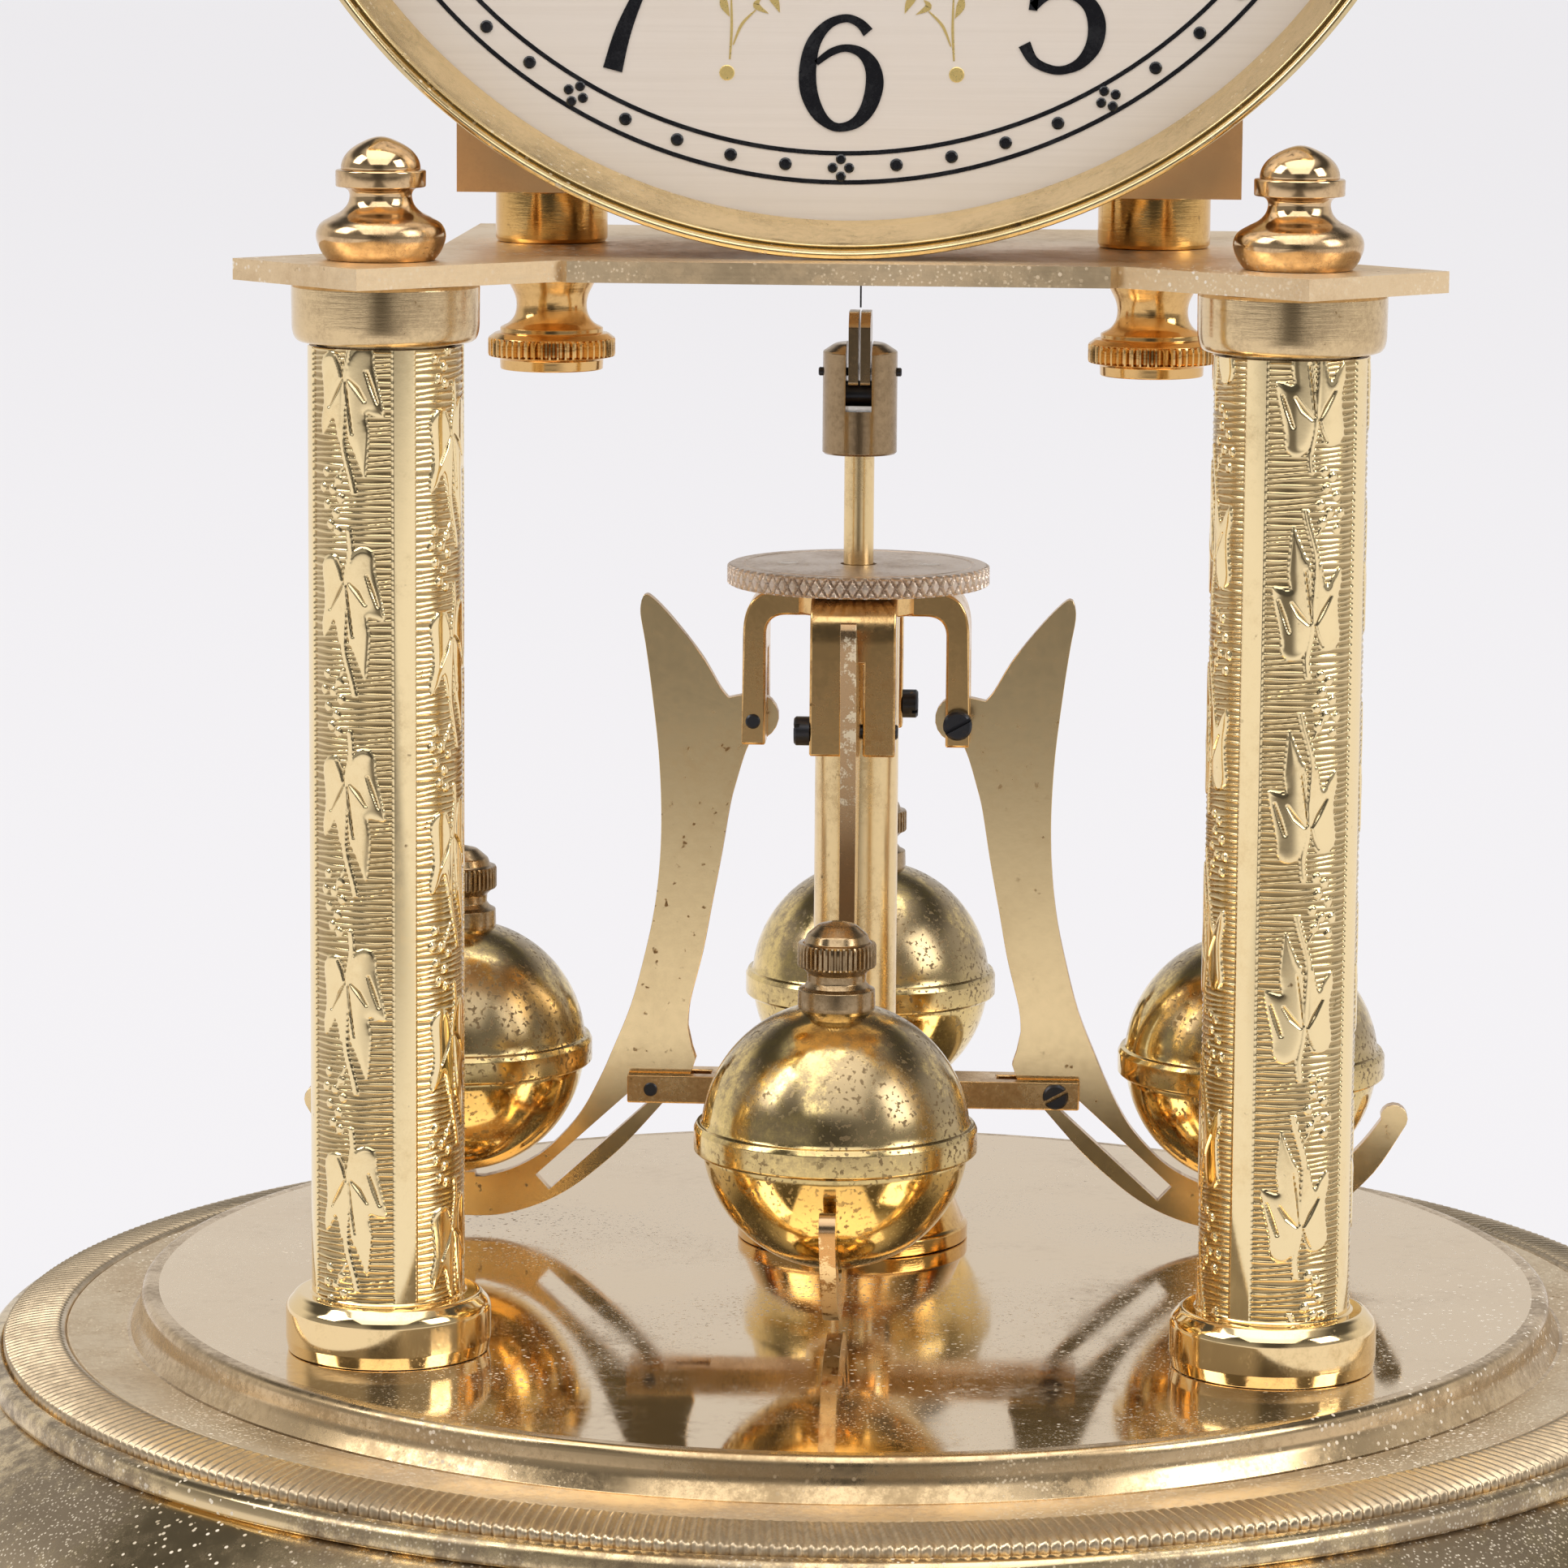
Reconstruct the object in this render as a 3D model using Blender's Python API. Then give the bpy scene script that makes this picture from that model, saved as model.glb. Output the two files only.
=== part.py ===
"""Torsion-pendulum mantel clock: round stepped base, two columns, movement with dial,
and a four-ball rotary pendulum that hangs from a thin suspension strip.

Frame: +Z up, dial facing -Y, +X to the right of someone who looks at the dial.
The origin is the centre of the flat underside. Sizes below are in millimetres.
"""
import math

import bmesh
import bpy
from mathutils import Matrix, Vector
from mathutils.geometry import delaunay_2d_cdt

MM = 0.001
GAP = 0.3                       # clearance between pieces that touch

# Base
BASE_R = 95.5                   # widest radius of the skirt
DECK_R = 68.0                   # polished central deck
DECK_Z = 30.0                   # height of the deck above the table
FELT_T = 2.0
SHELL_T = 1.1

# Columns
COLUMN_X = 40.0
COLUMN_Y = -32.0
TUBE_R = 6.95
TUBE_WALL = 0.8
COLLAR_H = 5.6
CAP_H = 5.3
PLATFORM_Z = 126.7              # underside of the platform
PLATFORM_T = 1.9
BOLT_R = 2.0
BOLT_HOLE_R = 2.4

# Movement
FOOT_X = 27.9
FOOT_Y = -3.75
FOOT_R = 5.2
FOOT_H = 5.0
PLATE_W = 71.4
PLATE_H = 90.0
PLATE_T = 1.5
FRONT_Y = -13.5                 # front face of the front plate
BACK_Y = 4.5                    # front face of the back plate
STUD_R = 1.7
PIVOT_R = 0.55
PIVOT_HOLE_R = 0.8

# Dial
DIAL_Z = 184.4
DIAL_R = 53.5
DIAL_Y = -19.8                  # front face of the dial
BEZEL_R = 55.7
BEZEL_Y = -27.0

# Pendulum, heights counted from the deck
AXIS_Y = 16.9
LIFT = DECK_Z + 1.0             # the pendulum hangs this far above the table
TOP_PIVOT = (9.9, 50.4)         # radius and height of the lever's upper pivot
LOW_PIN = (19.8, 13.65)         # radius and height of the cross pin in the lever's slot
SLOT_END = (30.6, 3.75)
BALL_AT = (38.8, 17.2)
BALL_R = 12.2
BAND_R = 13.0
DISC_R = 12.7
DISC_Z = 63.4                   # underside of the regulating disc
ARM_T = 2.2
LEVER_T = 1.5
FORK_GAP = 2.1

# Gear train: teeth and module of each meshing pair
BARREL_AT = (-8.5, 157.1)
ESCAPE_AT = (0.0, 204.3)
ANCHOR_AT = (0.0, 215.6)
GREAT_TEETH, INTER_LEAVES, GREAT_MODULE = 66, 10, 0.6
INTER_TEETH, CENTRE_LEAVES, INTER_MODULE = 78, 12, 0.5
CENTRE_TEETH, THIRD_LEAVES, CENTRE_MODULE = 60, 12, 0.5
THIRD_TEETH, ESCAPE_LEAVES, THIRD_MODULE = 48, 15, 0.6
CANNON_LEAVES, MINUTE_TEETH, MINUTE_MODULE = 12, 36, 0.5
MINUTE_LEAVES, HOUR_TEETH, HOUR_MODULE = 10, 40, 0.48
TOOTH_CLEAR = 0.35              # wheels end this far inside their pitch circles
ESCAPE_R = 8.6
ESCAPE_TEETH = 15
RATCHET_R = 7.0
RATCHET_TEETH = 24

MINUTE_ANGLE = 60.0             # hands at about ten past ten, clockwise from twelve
HOUR_ANGLE = 305.0

MATERIALS = {
    "polished_brass": ((0.83, 0.62, 0.27), 0.12, 1.0),
    "satin_brass": ((0.72, 0.60, 0.38), 0.34, 1.0),
    "copper_brass": ((0.72, 0.45, 0.22), 0.22, 1.0),
    "dial_silver": ((0.84, 0.80, 0.70), 0.40, 0.6),
    "blued_steel": ((0.03, 0.03, 0.035), 0.30, 0.7),
    "steel": ((0.45, 0.45, 0.46), 0.30, 1.0),
    "felt": ((0.05, 0.16, 0.09), 0.95, 0.0),
}


# ---------------------------------------------------------------- helpers

def clear_scene():
    for obj in list(bpy.data.objects):
        bpy.data.objects.remove(obj, do_unlink=True)


def material(name):
    found = bpy.data.materials.get(name)
    if found:
        return found
    colour, roughness, metallic = MATERIALS[name]
    mat = bpy.data.materials.new(name)
    mat.use_nodes = True
    shader = mat.node_tree.nodes["Principled BSDF"]
    shader.inputs["Base Color"].default_value = (*colour, 1.0)
    shader.inputs["Roughness"].default_value = roughness
    shader.inputs["Metallic"].default_value = metallic
    mat.diffuse_color = (*colour, 1.0)
    return mat


def solid(name, verts, faces, mat, smooth_deg=35.0):
    """A mesh object from millimetre points, with its faces turned outward."""
    bm = bmesh.new()
    made = [bm.verts.new(Vector(v) * MM) for v in verts]
    for face in faces:
        bm.faces.new([made[i] for i in face])
    bmesh.ops.recalc_face_normals(bm, faces=bm.faces)
    mesh = bpy.data.meshes.new(name)
    bm.to_mesh(mesh)
    bm.free()
    if smooth_deg:
        mesh.shade_smooth()
        mesh.set_sharp_from_angle(angle=math.radians(smooth_deg))
    obj = bpy.data.objects.new(name, mesh)
    bpy.context.scene.collection.objects.link(obj)
    obj.data.materials.append(material(mat))
    return obj


def turned(name, profile, mat, segments=14, ring=False):
    """Turn (radius, height) points about Z. A ring's profile is a closed loop off the axis."""
    verts, rows = [], []
    for radius, height in profile:
        if radius == 0.0:
            rows.append([len(verts)] * segments)
            verts.append((0.0, 0.0, height))
            continue
        rows.append(list(range(len(verts), len(verts) + segments)))
        for k in range(segments):
            turn = math.tau * k / segments
            verts.append((radius * math.cos(turn), radius * math.sin(turn), height))
    faces = []
    pairs = list(zip(rows, rows[1:] + rows[:1])) if ring else list(zip(rows, rows[1:]))
    for low, high in pairs:
        for k in range(segments):
            corners = [low[k], low[(k + 1) % segments], high[(k + 1) % segments], high[k]]
            face = list(dict.fromkeys(corners))
            if len(face) > 2:
                faces.append(face)
    return solid(name, verts, faces, mat)


def circle(x, y, radius, count=12):
    turns = [math.tau * k / count for k in range(count)]
    return [(x + radius * math.cos(t), y + radius * math.sin(t)) for t in turns]


def arc(x, y, radius, start_deg, end_deg, count=6):
    points = []
    for k in range(count + 1):
        turn = math.radians(start_deg + (end_deg - start_deg) * k / count)
        points.append((x + radius * math.cos(turn), y + radius * math.sin(turn)))
    return points


def smooth_line(points, steps=3):
    """Catmull-Rom curve through the points, ends included."""
    ends = [points[0]] + list(points) + [points[-1]]
    curve = []
    for a, b, c, d in zip(ends, ends[1:], ends[2:], ends[3:]):
        for k in range(steps):
            t = k / steps
            curve.append(tuple(
                0.5 * (2 * q + (r - p) * t + (2 * p - 5 * q + 4 * r - s) * t * t
                       + (3 * q - p - 3 * r + s) * t ** 3)
                for p, q, r, s in zip(a, b, c, d)))
    curve.append(tuple(points[-1]))
    return curve


def crossings(x, y, loop):
    """How many of the loop's sides lie to the right of the point, at its height."""
    count = 0
    for (ax, ay), (bx, by) in zip(loop, loop[1:] + loop[:1]):
        if (ay > y) != (by > y) and x < ax + (bx - ax) * (y - ay) / (by - ay):
            count += 1
    return count


def sheet(name, outline, holes, low, high, mat, upright=False, smooth_deg=35.0):
    """Flat piece with holes, from low to high along Z, or along Y when upright.

    An upright sheet's outline is given as (x, z).
    """
    loops = [outline] + list(holes)
    points, edges = [], []
    for loop in loops:
        first = len(points)
        points += [Vector(p) for p in loop]
        edges += [(first + k, first + (k + 1) % len(loop)) for k in range(len(loop))]
    flat, _, all_tris, *_ = delaunay_2d_cdt(points, edges, [], 0, 1e-5)
    tris = []
    for tri in all_tris:
        mid = sum((flat[i] for i in tri), Vector((0.0, 0.0))) / 3
        if sum(crossings(mid.x, mid.y, loop) for loop in loops) % 2:
            tris.append(tri)
    count = len(flat)
    used = {}
    for tri in tris:
        for a, b in zip(tri, tri[1:] + tri[:1]):
            key = (min(a, b), max(a, b))
            used.setdefault(key, []).append((a, b))
    faces = [tuple(t) for t in tris]
    faces += [tuple(i + count for i in reversed(t)) for t in tris]
    for sides in used.values():
        if len(sides) == 1:
            a, b = sides[0]
            faces.append((b, a, a + count, b + count))
    if upright:
        verts = [(p.x, low, p.y) for p in flat] + [(p.x, high, p.y) for p in flat]
    else:
        verts = [(p.x, p.y, low) for p in flat] + [(p.x, p.y, high) for p in flat]
    return solid(name, verts, faces, mat, smooth_deg)


def block(name, low, high, mat):
    corners = [(low[0], low[1]), (high[0], low[1]), (high[0], high[1]), (low[0], high[1])]
    return sheet(name, corners, [], low[2], high[2], mat, smooth_deg=0)


def rod(name, start, end, radius, mat, segments=12):
    """Round bar between two points; its mesh keeps those world places."""
    start, end = Vector(start), Vector(end)
    bar = turned(name, [(0.0, 0.0), (radius, 0.0), (radius, (end - start).length),
                        (0.0, (end - start).length)], mat, segments)
    turn = (end - start).to_track_quat("Z", "Y").to_matrix().to_4x4()
    bar.data.transform(Matrix.Translation(start * MM) @ turn)
    return bar


def apply(obj, operation, others):
    """Boolean the others into obj, then remove them."""
    for other in others:
        step = obj.modifiers.new(operation.lower(), "BOOLEAN")
        step.operation = operation
        step.solver = "EXACT"
        step.object = other
        bpy.context.view_layer.update()
        result = bpy.data.meshes.new_from_object(
            obj.evaluated_get(bpy.context.evaluated_depsgraph_get()))
        obj.modifiers.clear()
        obj.data = result
        bpy.data.objects.remove(other, do_unlink=True)
    return obj


def join(obj, *others):
    return apply(obj, "UNION", others)


def cut(obj, *others):
    return apply(obj, "DIFFERENCE", others)


def place(obj, x=0.0, y=0.0, z=0.0):
    obj.location = Vector((x, y, z)) * MM
    return obj


def along_y(obj):
    """Lay a piece turned about Z along Y, its heights running towards +Y."""
    obj.data.transform(Matrix.Rotation(math.radians(-90.0), 4, "X"))
    return obj


def joint_at(name, x, y, z, turn_deg=0.0, parent=None):
    """Empty on a joint's axis, which carries the pieces that move with it."""
    empty = bpy.data.objects.new(name, None)
    bpy.context.scene.collection.objects.link(empty)
    empty.rotation_euler = (0.0, 0.0, math.radians(turn_deg))
    empty.location = Vector((x, y, z)) * MM
    if parent:
        empty.parent = parent
        empty.location = Vector((x, y, z)) * MM - parent.matrix_world.translation
    bpy.context.view_layer.update()
    return empty


def carry(empty, *pieces):
    """Parent pieces whose location is in world millimetres to an unturned empty."""
    for piece in pieces:
        piece.parent = empty
        piece.location = piece.location - empty.matrix_world.translation


def mesh_point(a, reach_a, b, reach_b, side):
    """The arbor position at the two given centre distances, on one side of the line a-b."""
    a, b = Vector(a), Vector(b)
    span = (b - a).length
    along = (reach_a ** 2 - reach_b ** 2 + span ** 2) / (2 * span)
    off = math.sqrt(reach_a ** 2 - along ** 2)
    unit = (b - a) / span
    return tuple(a + unit * along + Vector((unit.y, -unit.x)) * off * side)


def pitch_r(teeth, module):
    return teeth * module / 2


# ---------------------------------------------------------------- base

def skirt_profile():
    """Outside of the spun base, from the deck's edge down to the foot of the skirt."""
    edge = arc(DECK_R - 2.0, DECK_Z - 2.0, 2.0, 90, 10, 3)
    wall = arc(DECK_R + 3.9, DECK_Z - 1.3, 2.4, 195, 270, 2)
    ledge = [(74.4, DECK_Z - 3.7), (74.9, DECK_Z - 3.3), (79.2, DECK_Z - 3.8),
             (79.9, DECK_Z - 4.9)]
    lip = arc(80.7, DECK_Z - 6.4, 1.5, 95, -55, 4)
    flare = smooth_line([(80.9, DECK_Z - 8.6), (84.6, DECK_Z - 10.2), (90.4, DECK_Z - 13.6),
                         (94.2, DECK_Z - 19.0), (BASE_R, DECK_Z - 26.0)], 1)
    return edge + wall + ledge + lip + flare + [(BASE_R, FELT_T + GAP)]


def make_base():
    outer = skirt_profile()
    inner = [(0.0, DECK_Z - SHELL_T), (DECK_R - 2.4, DECK_Z - SHELL_T),
             (DECK_R - 1.0, DECK_Z - 4.9), (78.6, DECK_Z - 6.0), (79.6, DECK_Z - 9.4),
             (84.0, DECK_Z - 11.4), (89.5, DECK_Z - 14.8), (93.1, DECK_Z - 19.6),
             (BASE_R - SHELL_T, DECK_Z - 26.0), (BASE_R - SHELL_T, FELT_T + GAP)]
    shell = turned("base_shell", [(0.0, DECK_Z)] + outer + inner[::-1], "polished_brass", 32)
    deck_holes = [(sx * COLUMN_X, COLUMN_Y, BOLT_HOLE_R) for sx in (-1, 1)] + [(0, AXIS_Y, 3.2)]
    cut(shell, *[rod("deck_hole", (x, y, DECK_Z - 8), (x, y, DECK_Z + 3), r, "steel")
                 for x, y, r in deck_holes])

    plate_r = BASE_R - SHELL_T - 0.4
    vents = [circle(x, y, 1.8, 8) for x, y in ((55, 0), (0, 55), (-55, 0), (0, -55))]
    sheet("base_plate", circle(0, 0, plate_r, 24), vents,
          FELT_T + GAP, FELT_T + GAP + 1.4, "steel")
    turned("felt_ring", [(94.6, 0.0), (94.6, FELT_T), (68.0, FELT_T), (68.0, 0.0)],
           "felt", 24, ring=True)

    cup = [(3.4, 3.0), (3.4, 6.6), (4.2, 7.2), (6.6, 6.9), (8.9, 5.7), (10.4, 3.9),
           (11.0, 1.6), (11.3, 1.3), (11.3, GAP), (2.6, GAP), (2.6, -2.6), (0.0, -2.6),
           (0.0, 3.0)]
    place(turned("guide_cup", cup, "polished_brass", 14, ring=True), 0, AXIS_Y, DECK_Z)


# ---------------------------------------------------------------- columns and platform

def make_column(side, sx):
    x = sx * COLUMN_X
    tube_low = DECK_Z + COLLAR_H
    tube_high = PLATFORM_Z - CAP_H
    spigot = TUBE_R - TUBE_WALL - GAP
    collar = ([(BOLT_HOLE_R, GAP), (9.3, GAP)] + arc(7.6, 3.5, 1.7, 0, 90, 4)
              + [(spigot, COLLAR_H - 0.2), (spigot, COLLAR_H + 3), (BOLT_HOLE_R, COLLAR_H + 3)])
    place(turned("collar_" + side, collar, "polished_brass", ring=True), x, COLUMN_Y, DECK_Z)
    tube = [(TUBE_R - TUBE_WALL, tube_low), (TUBE_R, tube_low),
            (TUBE_R, tube_high - GAP), (TUBE_R - TUBE_WALL, tube_high - GAP)]
    place(turned("column_" + side, tube, "polished_brass", ring=True), x, COLUMN_Y, 0)
    cap = ([(BOLT_HOLE_R, CAP_H - GAP), (8.35, CAP_H - GAP)] + arc(6.95, 1.5, 1.4, 0, -80, 4)
           + [(spigot, 0.0), (spigot, -3.0), (BOLT_HOLE_R, -3.0)])
    place(turned("cap_" + side, cap, "satin_brass", ring=True), x, COLUMN_Y, tube_high)

    head_low = DECK_Z - SHELL_T - GAP - 3.0
    bolt = [(0.0, head_low), (3.6, head_low), (3.6, head_low + 3.0), (BOLT_R, head_low + 3.0),
            (BOLT_R, PLATFORM_Z + PLATFORM_T + 5.0), (0.0, PLATFORM_Z + PLATFORM_T + 5.0)]
    place(turned("tie_bolt_" + side, bolt, "steel", 12), x, COLUMN_Y, 0)

    finial = ([(BOLT_HOLE_R, 0.0), (4.65, 0.0)] + arc(3.75, 2.0, 1.95, -60, 70, 4)
              + [(3.1, 4.4), (2.66, 5.2), (3.0, 5.75), (4.0, 6.0), (4.0, 7.4), (3.4, 7.7)]
              + arc(0.0, 7.0, 3.45, 18, 66, 3)
              + [(0.0, 10.45), (0.0, 5.6), (BOLT_HOLE_R, 5.6)])
    place(turned("finial_" + side, finial, "copper_brass", 12, ring=True), x, COLUMN_Y,
          PLATFORM_Z + PLATFORM_T + GAP)


def platform_outline():
    """Right half from the front middle round to the back middle, then its mirror."""
    half = [(24.0, -31.2), (24.6, -30.4), (41.0, -44.6), (53.6, -32.0), (42.0, -20.4),
            (37.2, -15.6), (37.2, 21.4), (3.2, 21.4), (3.2, 15.2)]
    return half + [(-x, y) for x, y in reversed(half)]


def make_platform():
    holes = [circle(sx * COLUMN_X, COLUMN_Y, BOLT_HOLE_R) for sx in (-1, 1)]
    holes += [circle(sx * FOOT_X, FOOT_Y, STUD_R + 0.4) for sx in (-1, 1)]
    sheet("platform", platform_outline(), holes, PLATFORM_Z, PLATFORM_Z + PLATFORM_T,
          "satin_brass", smooth_deg=0)
    for side, sx in (("left", -1), ("right", 1)):
        top = PLATFORM_Z + PLATFORM_T
        foot = [(0.0, -13.6), (STUD_R, -13.6), (STUD_R, GAP), (FOOT_R - 0.3, GAP),
                (FOOT_R, GAP + 0.3), (FOOT_R, FOOT_H - 0.3), (STUD_R, FOOT_H - 0.3),
                (STUD_R, FOOT_H + 3.4), (0.0, FOOT_H + 3.4)]
        place(turned("movement_foot_" + side, foot, "copper_brass", 12),
              sx * FOOT_X, FOOT_Y, top)
        nut = [(STUD_R + GAP, -GAP), (4.3, -GAP), (3.75, -1.0), (3.41, -2.6), (3.75, -4.2),
               (4.9, -5.6), (4.9, -6.4), (5.92, -7.1), (5.92, -8.9), (4.93, -9.3),
               (4.93, -10.3), (STUD_R + GAP, -10.3)]
        place(turned("thumb_nut_" + side, nut, "copper_brass", 12, ring=True),
              sx * FOOT_X, FOOT_Y, PLATFORM_Z)


# ---------------------------------------------------------------- movement

def plate_low():
    return PLATFORM_Z + PLATFORM_T + FOOT_H


def arbor_places():
    inter = mesh_point(BARREL_AT, pitch_r(GREAT_TEETH + INTER_LEAVES, GREAT_MODULE),
                       (0.0, DIAL_Z), pitch_r(INTER_TEETH + CENTRE_LEAVES, INTER_MODULE), 1)
    third = mesh_point((0.0, DIAL_Z), pitch_r(CENTRE_TEETH + THIRD_LEAVES, CENTRE_MODULE),
                       ESCAPE_AT, pitch_r(THIRD_TEETH + ESCAPE_LEAVES, THIRD_MODULE), 1)
    return {"barrel": BARREL_AT, "inter": inter, "centre": (0.0, DIAL_Z), "third": third,
            "escape": ESCAPE_AT, "anchor": ANCHOR_AT}


def plate_outline():
    low = plate_low()
    x, high = PLATE_W / 2, low + PLATE_H
    return [(-x, low), (x, low), (x, high), (-x, high)]


def make_plates(places):
    low = plate_low()
    pillar_at = [(-FOOT_X, low + 6.3), (FOOT_X, low + 6.3), (-30.0, low + 83.5),
                 (30.0, low + 83.5)]
    pivots = [circle(*places[k], PIVOT_HOLE_R, 8) for k in ("inter", "third", "escape", "anchor")]
    minute_z = DIAL_Z - pitch_r(CANNON_LEAVES + MINUTE_TEETH, MINUTE_MODULE)
    front_holes = pivots + [circle(*BARREL_AT, 1.9), circle(0.0, DIAL_Z, 1.5),
                            circle(0.0, minute_z, PIVOT_HOLE_R, 8)]
    front = sheet("front_plate", plate_outline(), front_holes, FRONT_Y, FRONT_Y + PLATE_T,
                  "polished_brass", upright=True, smooth_deg=0)
    join(front, *[rod("pillar", (x, FRONT_Y + 0.4, z), (x, BACK_Y - GAP, z), 3.4, "satin_brass")
                  for x, z in pillar_at])
    cut(front, *[rod("stud_hole", (sx * FOOT_X, FOOT_Y, low - 1), (sx * FOOT_X, FOOT_Y, low + 7.2),
                     STUD_R + GAP, "steel") for sx in (-1, 1)])
    peep = [circle(ESCAPE_AT[0] - 6.2, ESCAPE_AT[1] + 5.6, 2.0, 10),
            circle(ESCAPE_AT[0] + 6.2, ESCAPE_AT[1] + 5.6, 2.0, 10)]
    back_pivots = [circle(*places[k], PIVOT_HOLE_R, 8) for k in ("inter", "third", "escape")]
    back_holes = back_pivots + peep + [circle(*ANCHOR_AT, 1.4, 10), circle(*BARREL_AT, 2.3),
                                       circle(0.0, DIAL_Z, PIVOT_HOLE_R, 8),
                                       circle(BARREL_AT[0] + 10.6, BARREL_AT[1], 1.2, 10)]
    sheet("back_plate", plate_outline(), back_holes, BACK_Y, BACK_Y + PLATE_T,
          "polished_brass", upright=True, smooth_deg=0)


def wheel(name, at, wheel_r, wheel_y, pinion_r, pinion_y, ends, mat="polished_brass",
          arbor_r=1.0):
    """Arbor with one wheel and one pinion, each given as a (low, high) stretch along Y."""
    low, high = ends
    steps = [(0.0, low), (PIVOT_R, low), (PIVOT_R, low + 1.6), (arbor_r, low + 1.6)]
    stretches = sorted([(wheel_y, wheel_r), (pinion_y, pinion_r)])
    for (a, b), radius in stretches:
        steps += [(arbor_r, a), (radius, a), (radius, b), (arbor_r, b)]
    steps += [(arbor_r, high - 1.6), (PIVOT_R, high - 1.6), (PIVOT_R, high), (0.0, high)]
    obj = along_y(turned(name, steps, mat, 16))
    return place(obj, at[0], 0.0, at[1])


def make_train(places):
    inside = (FRONT_Y + 0.2, BACK_Y + PLATE_T - 0.2)
    great_y = (-11.4, -10.2)
    inter_y = (1.6, 2.4)
    centre_y = (3.0, 3.7)
    third_y = (-8.2, -7.4)
    escape_y = (-4.4, -3.6)

    great_r = pitch_r(GREAT_TEETH, GREAT_MODULE) - TOOTH_CLEAR
    drum_r, drum_high = 18.2, 0.9
    barrel = [(2.3, great_y[0]), (great_r, great_y[0]), (great_r, great_y[1]),
              (drum_r, great_y[1]), (drum_r, drum_high), (2.3, drum_high),
              (2.3, drum_high - 0.8), (drum_r - 0.8, drum_high - 0.8),
              (drum_r - 0.8, great_y[1] + 0.2), (2.3, great_y[1] + 0.2)]
    drum = along_y(turned("mainspring_barrel", barrel, "polished_brass", 20, ring=True))
    place(drum, BARREL_AT[0], 0.0, BARREL_AT[1])
    make_mainspring(great_y[1] + 0.6, drum_high - 1.2, drum_r - 1.2)

    arbor = [(0.0, FRONT_Y + 0.2), (1.6, FRONT_Y + 0.2), (1.6, -11.8), (1.9, -11.8),
             (1.9, -9.4), (3.2, -9.4), (3.2, -0.4), (1.9, -0.4), (1.9, BACK_Y + PLATE_T + 0.1),
             (1.5, BACK_Y + PLATE_T + 0.1), (1.5, 7.9), (0.0, 7.9)]
    wind = along_y(turned("winding_arbor", arbor, "steel", 12))
    square = block("square", (-1.45, -1.45, 7.0), (1.45, 1.45, 15.5), "steel")
    join(wind, along_y(square))
    place(wind, BARREL_AT[0], 0.0, BARREL_AT[1])

    wheel("intermediate_wheel", places["inter"],
          pitch_r(INTER_TEETH, INTER_MODULE) - TOOTH_CLEAR, inter_y,
          pitch_r(INTER_LEAVES, GREAT_MODULE) - TOOTH_CLEAR, (-11.6, -9.8), inside)
    wheel("third_wheel", places["third"],
          pitch_r(THIRD_TEETH, THIRD_MODULE) - TOOTH_CLEAR, third_y,
          pitch_r(THIRD_LEAVES, CENTRE_MODULE) - TOOTH_CLEAR, (2.6, 4.1), inside)

    tip = -24.6
    centre_r = pitch_r(CENTRE_TEETH, CENTRE_MODULE) - TOOTH_CLEAR
    leaf_r = pitch_r(CENTRE_LEAVES, INTER_MODULE) - TOOTH_CLEAR
    centre = [(0.0, tip), (0.8, tip), (0.8, FRONT_Y - 0.4), (1.2, FRONT_Y - 0.4), (1.2, 1.1),
              (leaf_r, 1.1), (leaf_r, centre_y[0]), (centre_r, centre_y[0]),
              (centre_r, centre_y[1]), (1.0, centre_y[1]), (1.0, BACK_Y - 0.3),
              (PIVOT_R, BACK_Y - 0.3), (PIVOT_R, inside[1]), (0.0, inside[1])]
    place(along_y(turned("centre_wheel", centre, "polished_brass", 16)), 0.0, 0.0, DIAL_Z)

    spacing = math.tau / ESCAPE_TEETH
    teeth = []
    for k in range(ESCAPE_TEETH):
        for radius, lead in ((ESCAPE_R, 0.75), (ESCAPE_R - 0.3, 0.80), (ESCAPE_R - 2.2, 0.93)):
            turn = (k + lead) * spacing
            teeth.append((radius * math.cos(turn), radius * math.sin(turn)))
    escape = sheet("escape_wheel", teeth, [], *escape_y, "polished_brass", upright=True)
    pinion_r = pitch_r(ESCAPE_LEAVES, THIRD_MODULE) - TOOTH_CLEAR
    arbor = [(0.0, inside[0]), (PIVOT_R, inside[0]), (PIVOT_R, inside[0] + 1.6),
             (1.0, inside[0] + 1.6), (1.0, -9.0), (pinion_r, -9.0), (pinion_r, -6.6),
             (1.0, -6.6), (1.0, escape_y[0] - 0.6), (2.0, escape_y[0] - 0.6),
             (2.0, escape_y[1] - 0.3), (1.0, escape_y[1] - 0.3), (1.0, inside[1] - 1.6),
             (PIVOT_R, inside[1] - 1.6), (PIVOT_R, inside[1]), (0.0, inside[1])]
    join(escape, along_y(turned("escape_arbor", arbor, "steel", 12)))
    place(escape, ESCAPE_AT[0], 0.0, ESCAPE_AT[1])
    make_anchor(escape_y)
    make_ratchet()


def make_mainspring(low, high, outer_r):
    """Strip coiled from the drum wall inward."""
    turns, thick, steps = 4, 0.5, 16
    outer, inner = [], []
    for k in range(turns * steps + 1):
        turn = math.tau * k / steps
        radius = outer_r - 1.5 * k / steps
        outer.append((radius * math.cos(turn), radius * math.sin(turn)))
        inner.append(((radius - thick) * math.cos(turn), (radius - thick) * math.sin(turn)))
    strip = sheet("mainspring", outer + inner[::-1], [], low, high, "steel", upright=True)
    place(strip, BARREL_AT[0], 0.0, BARREL_AT[1])


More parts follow.
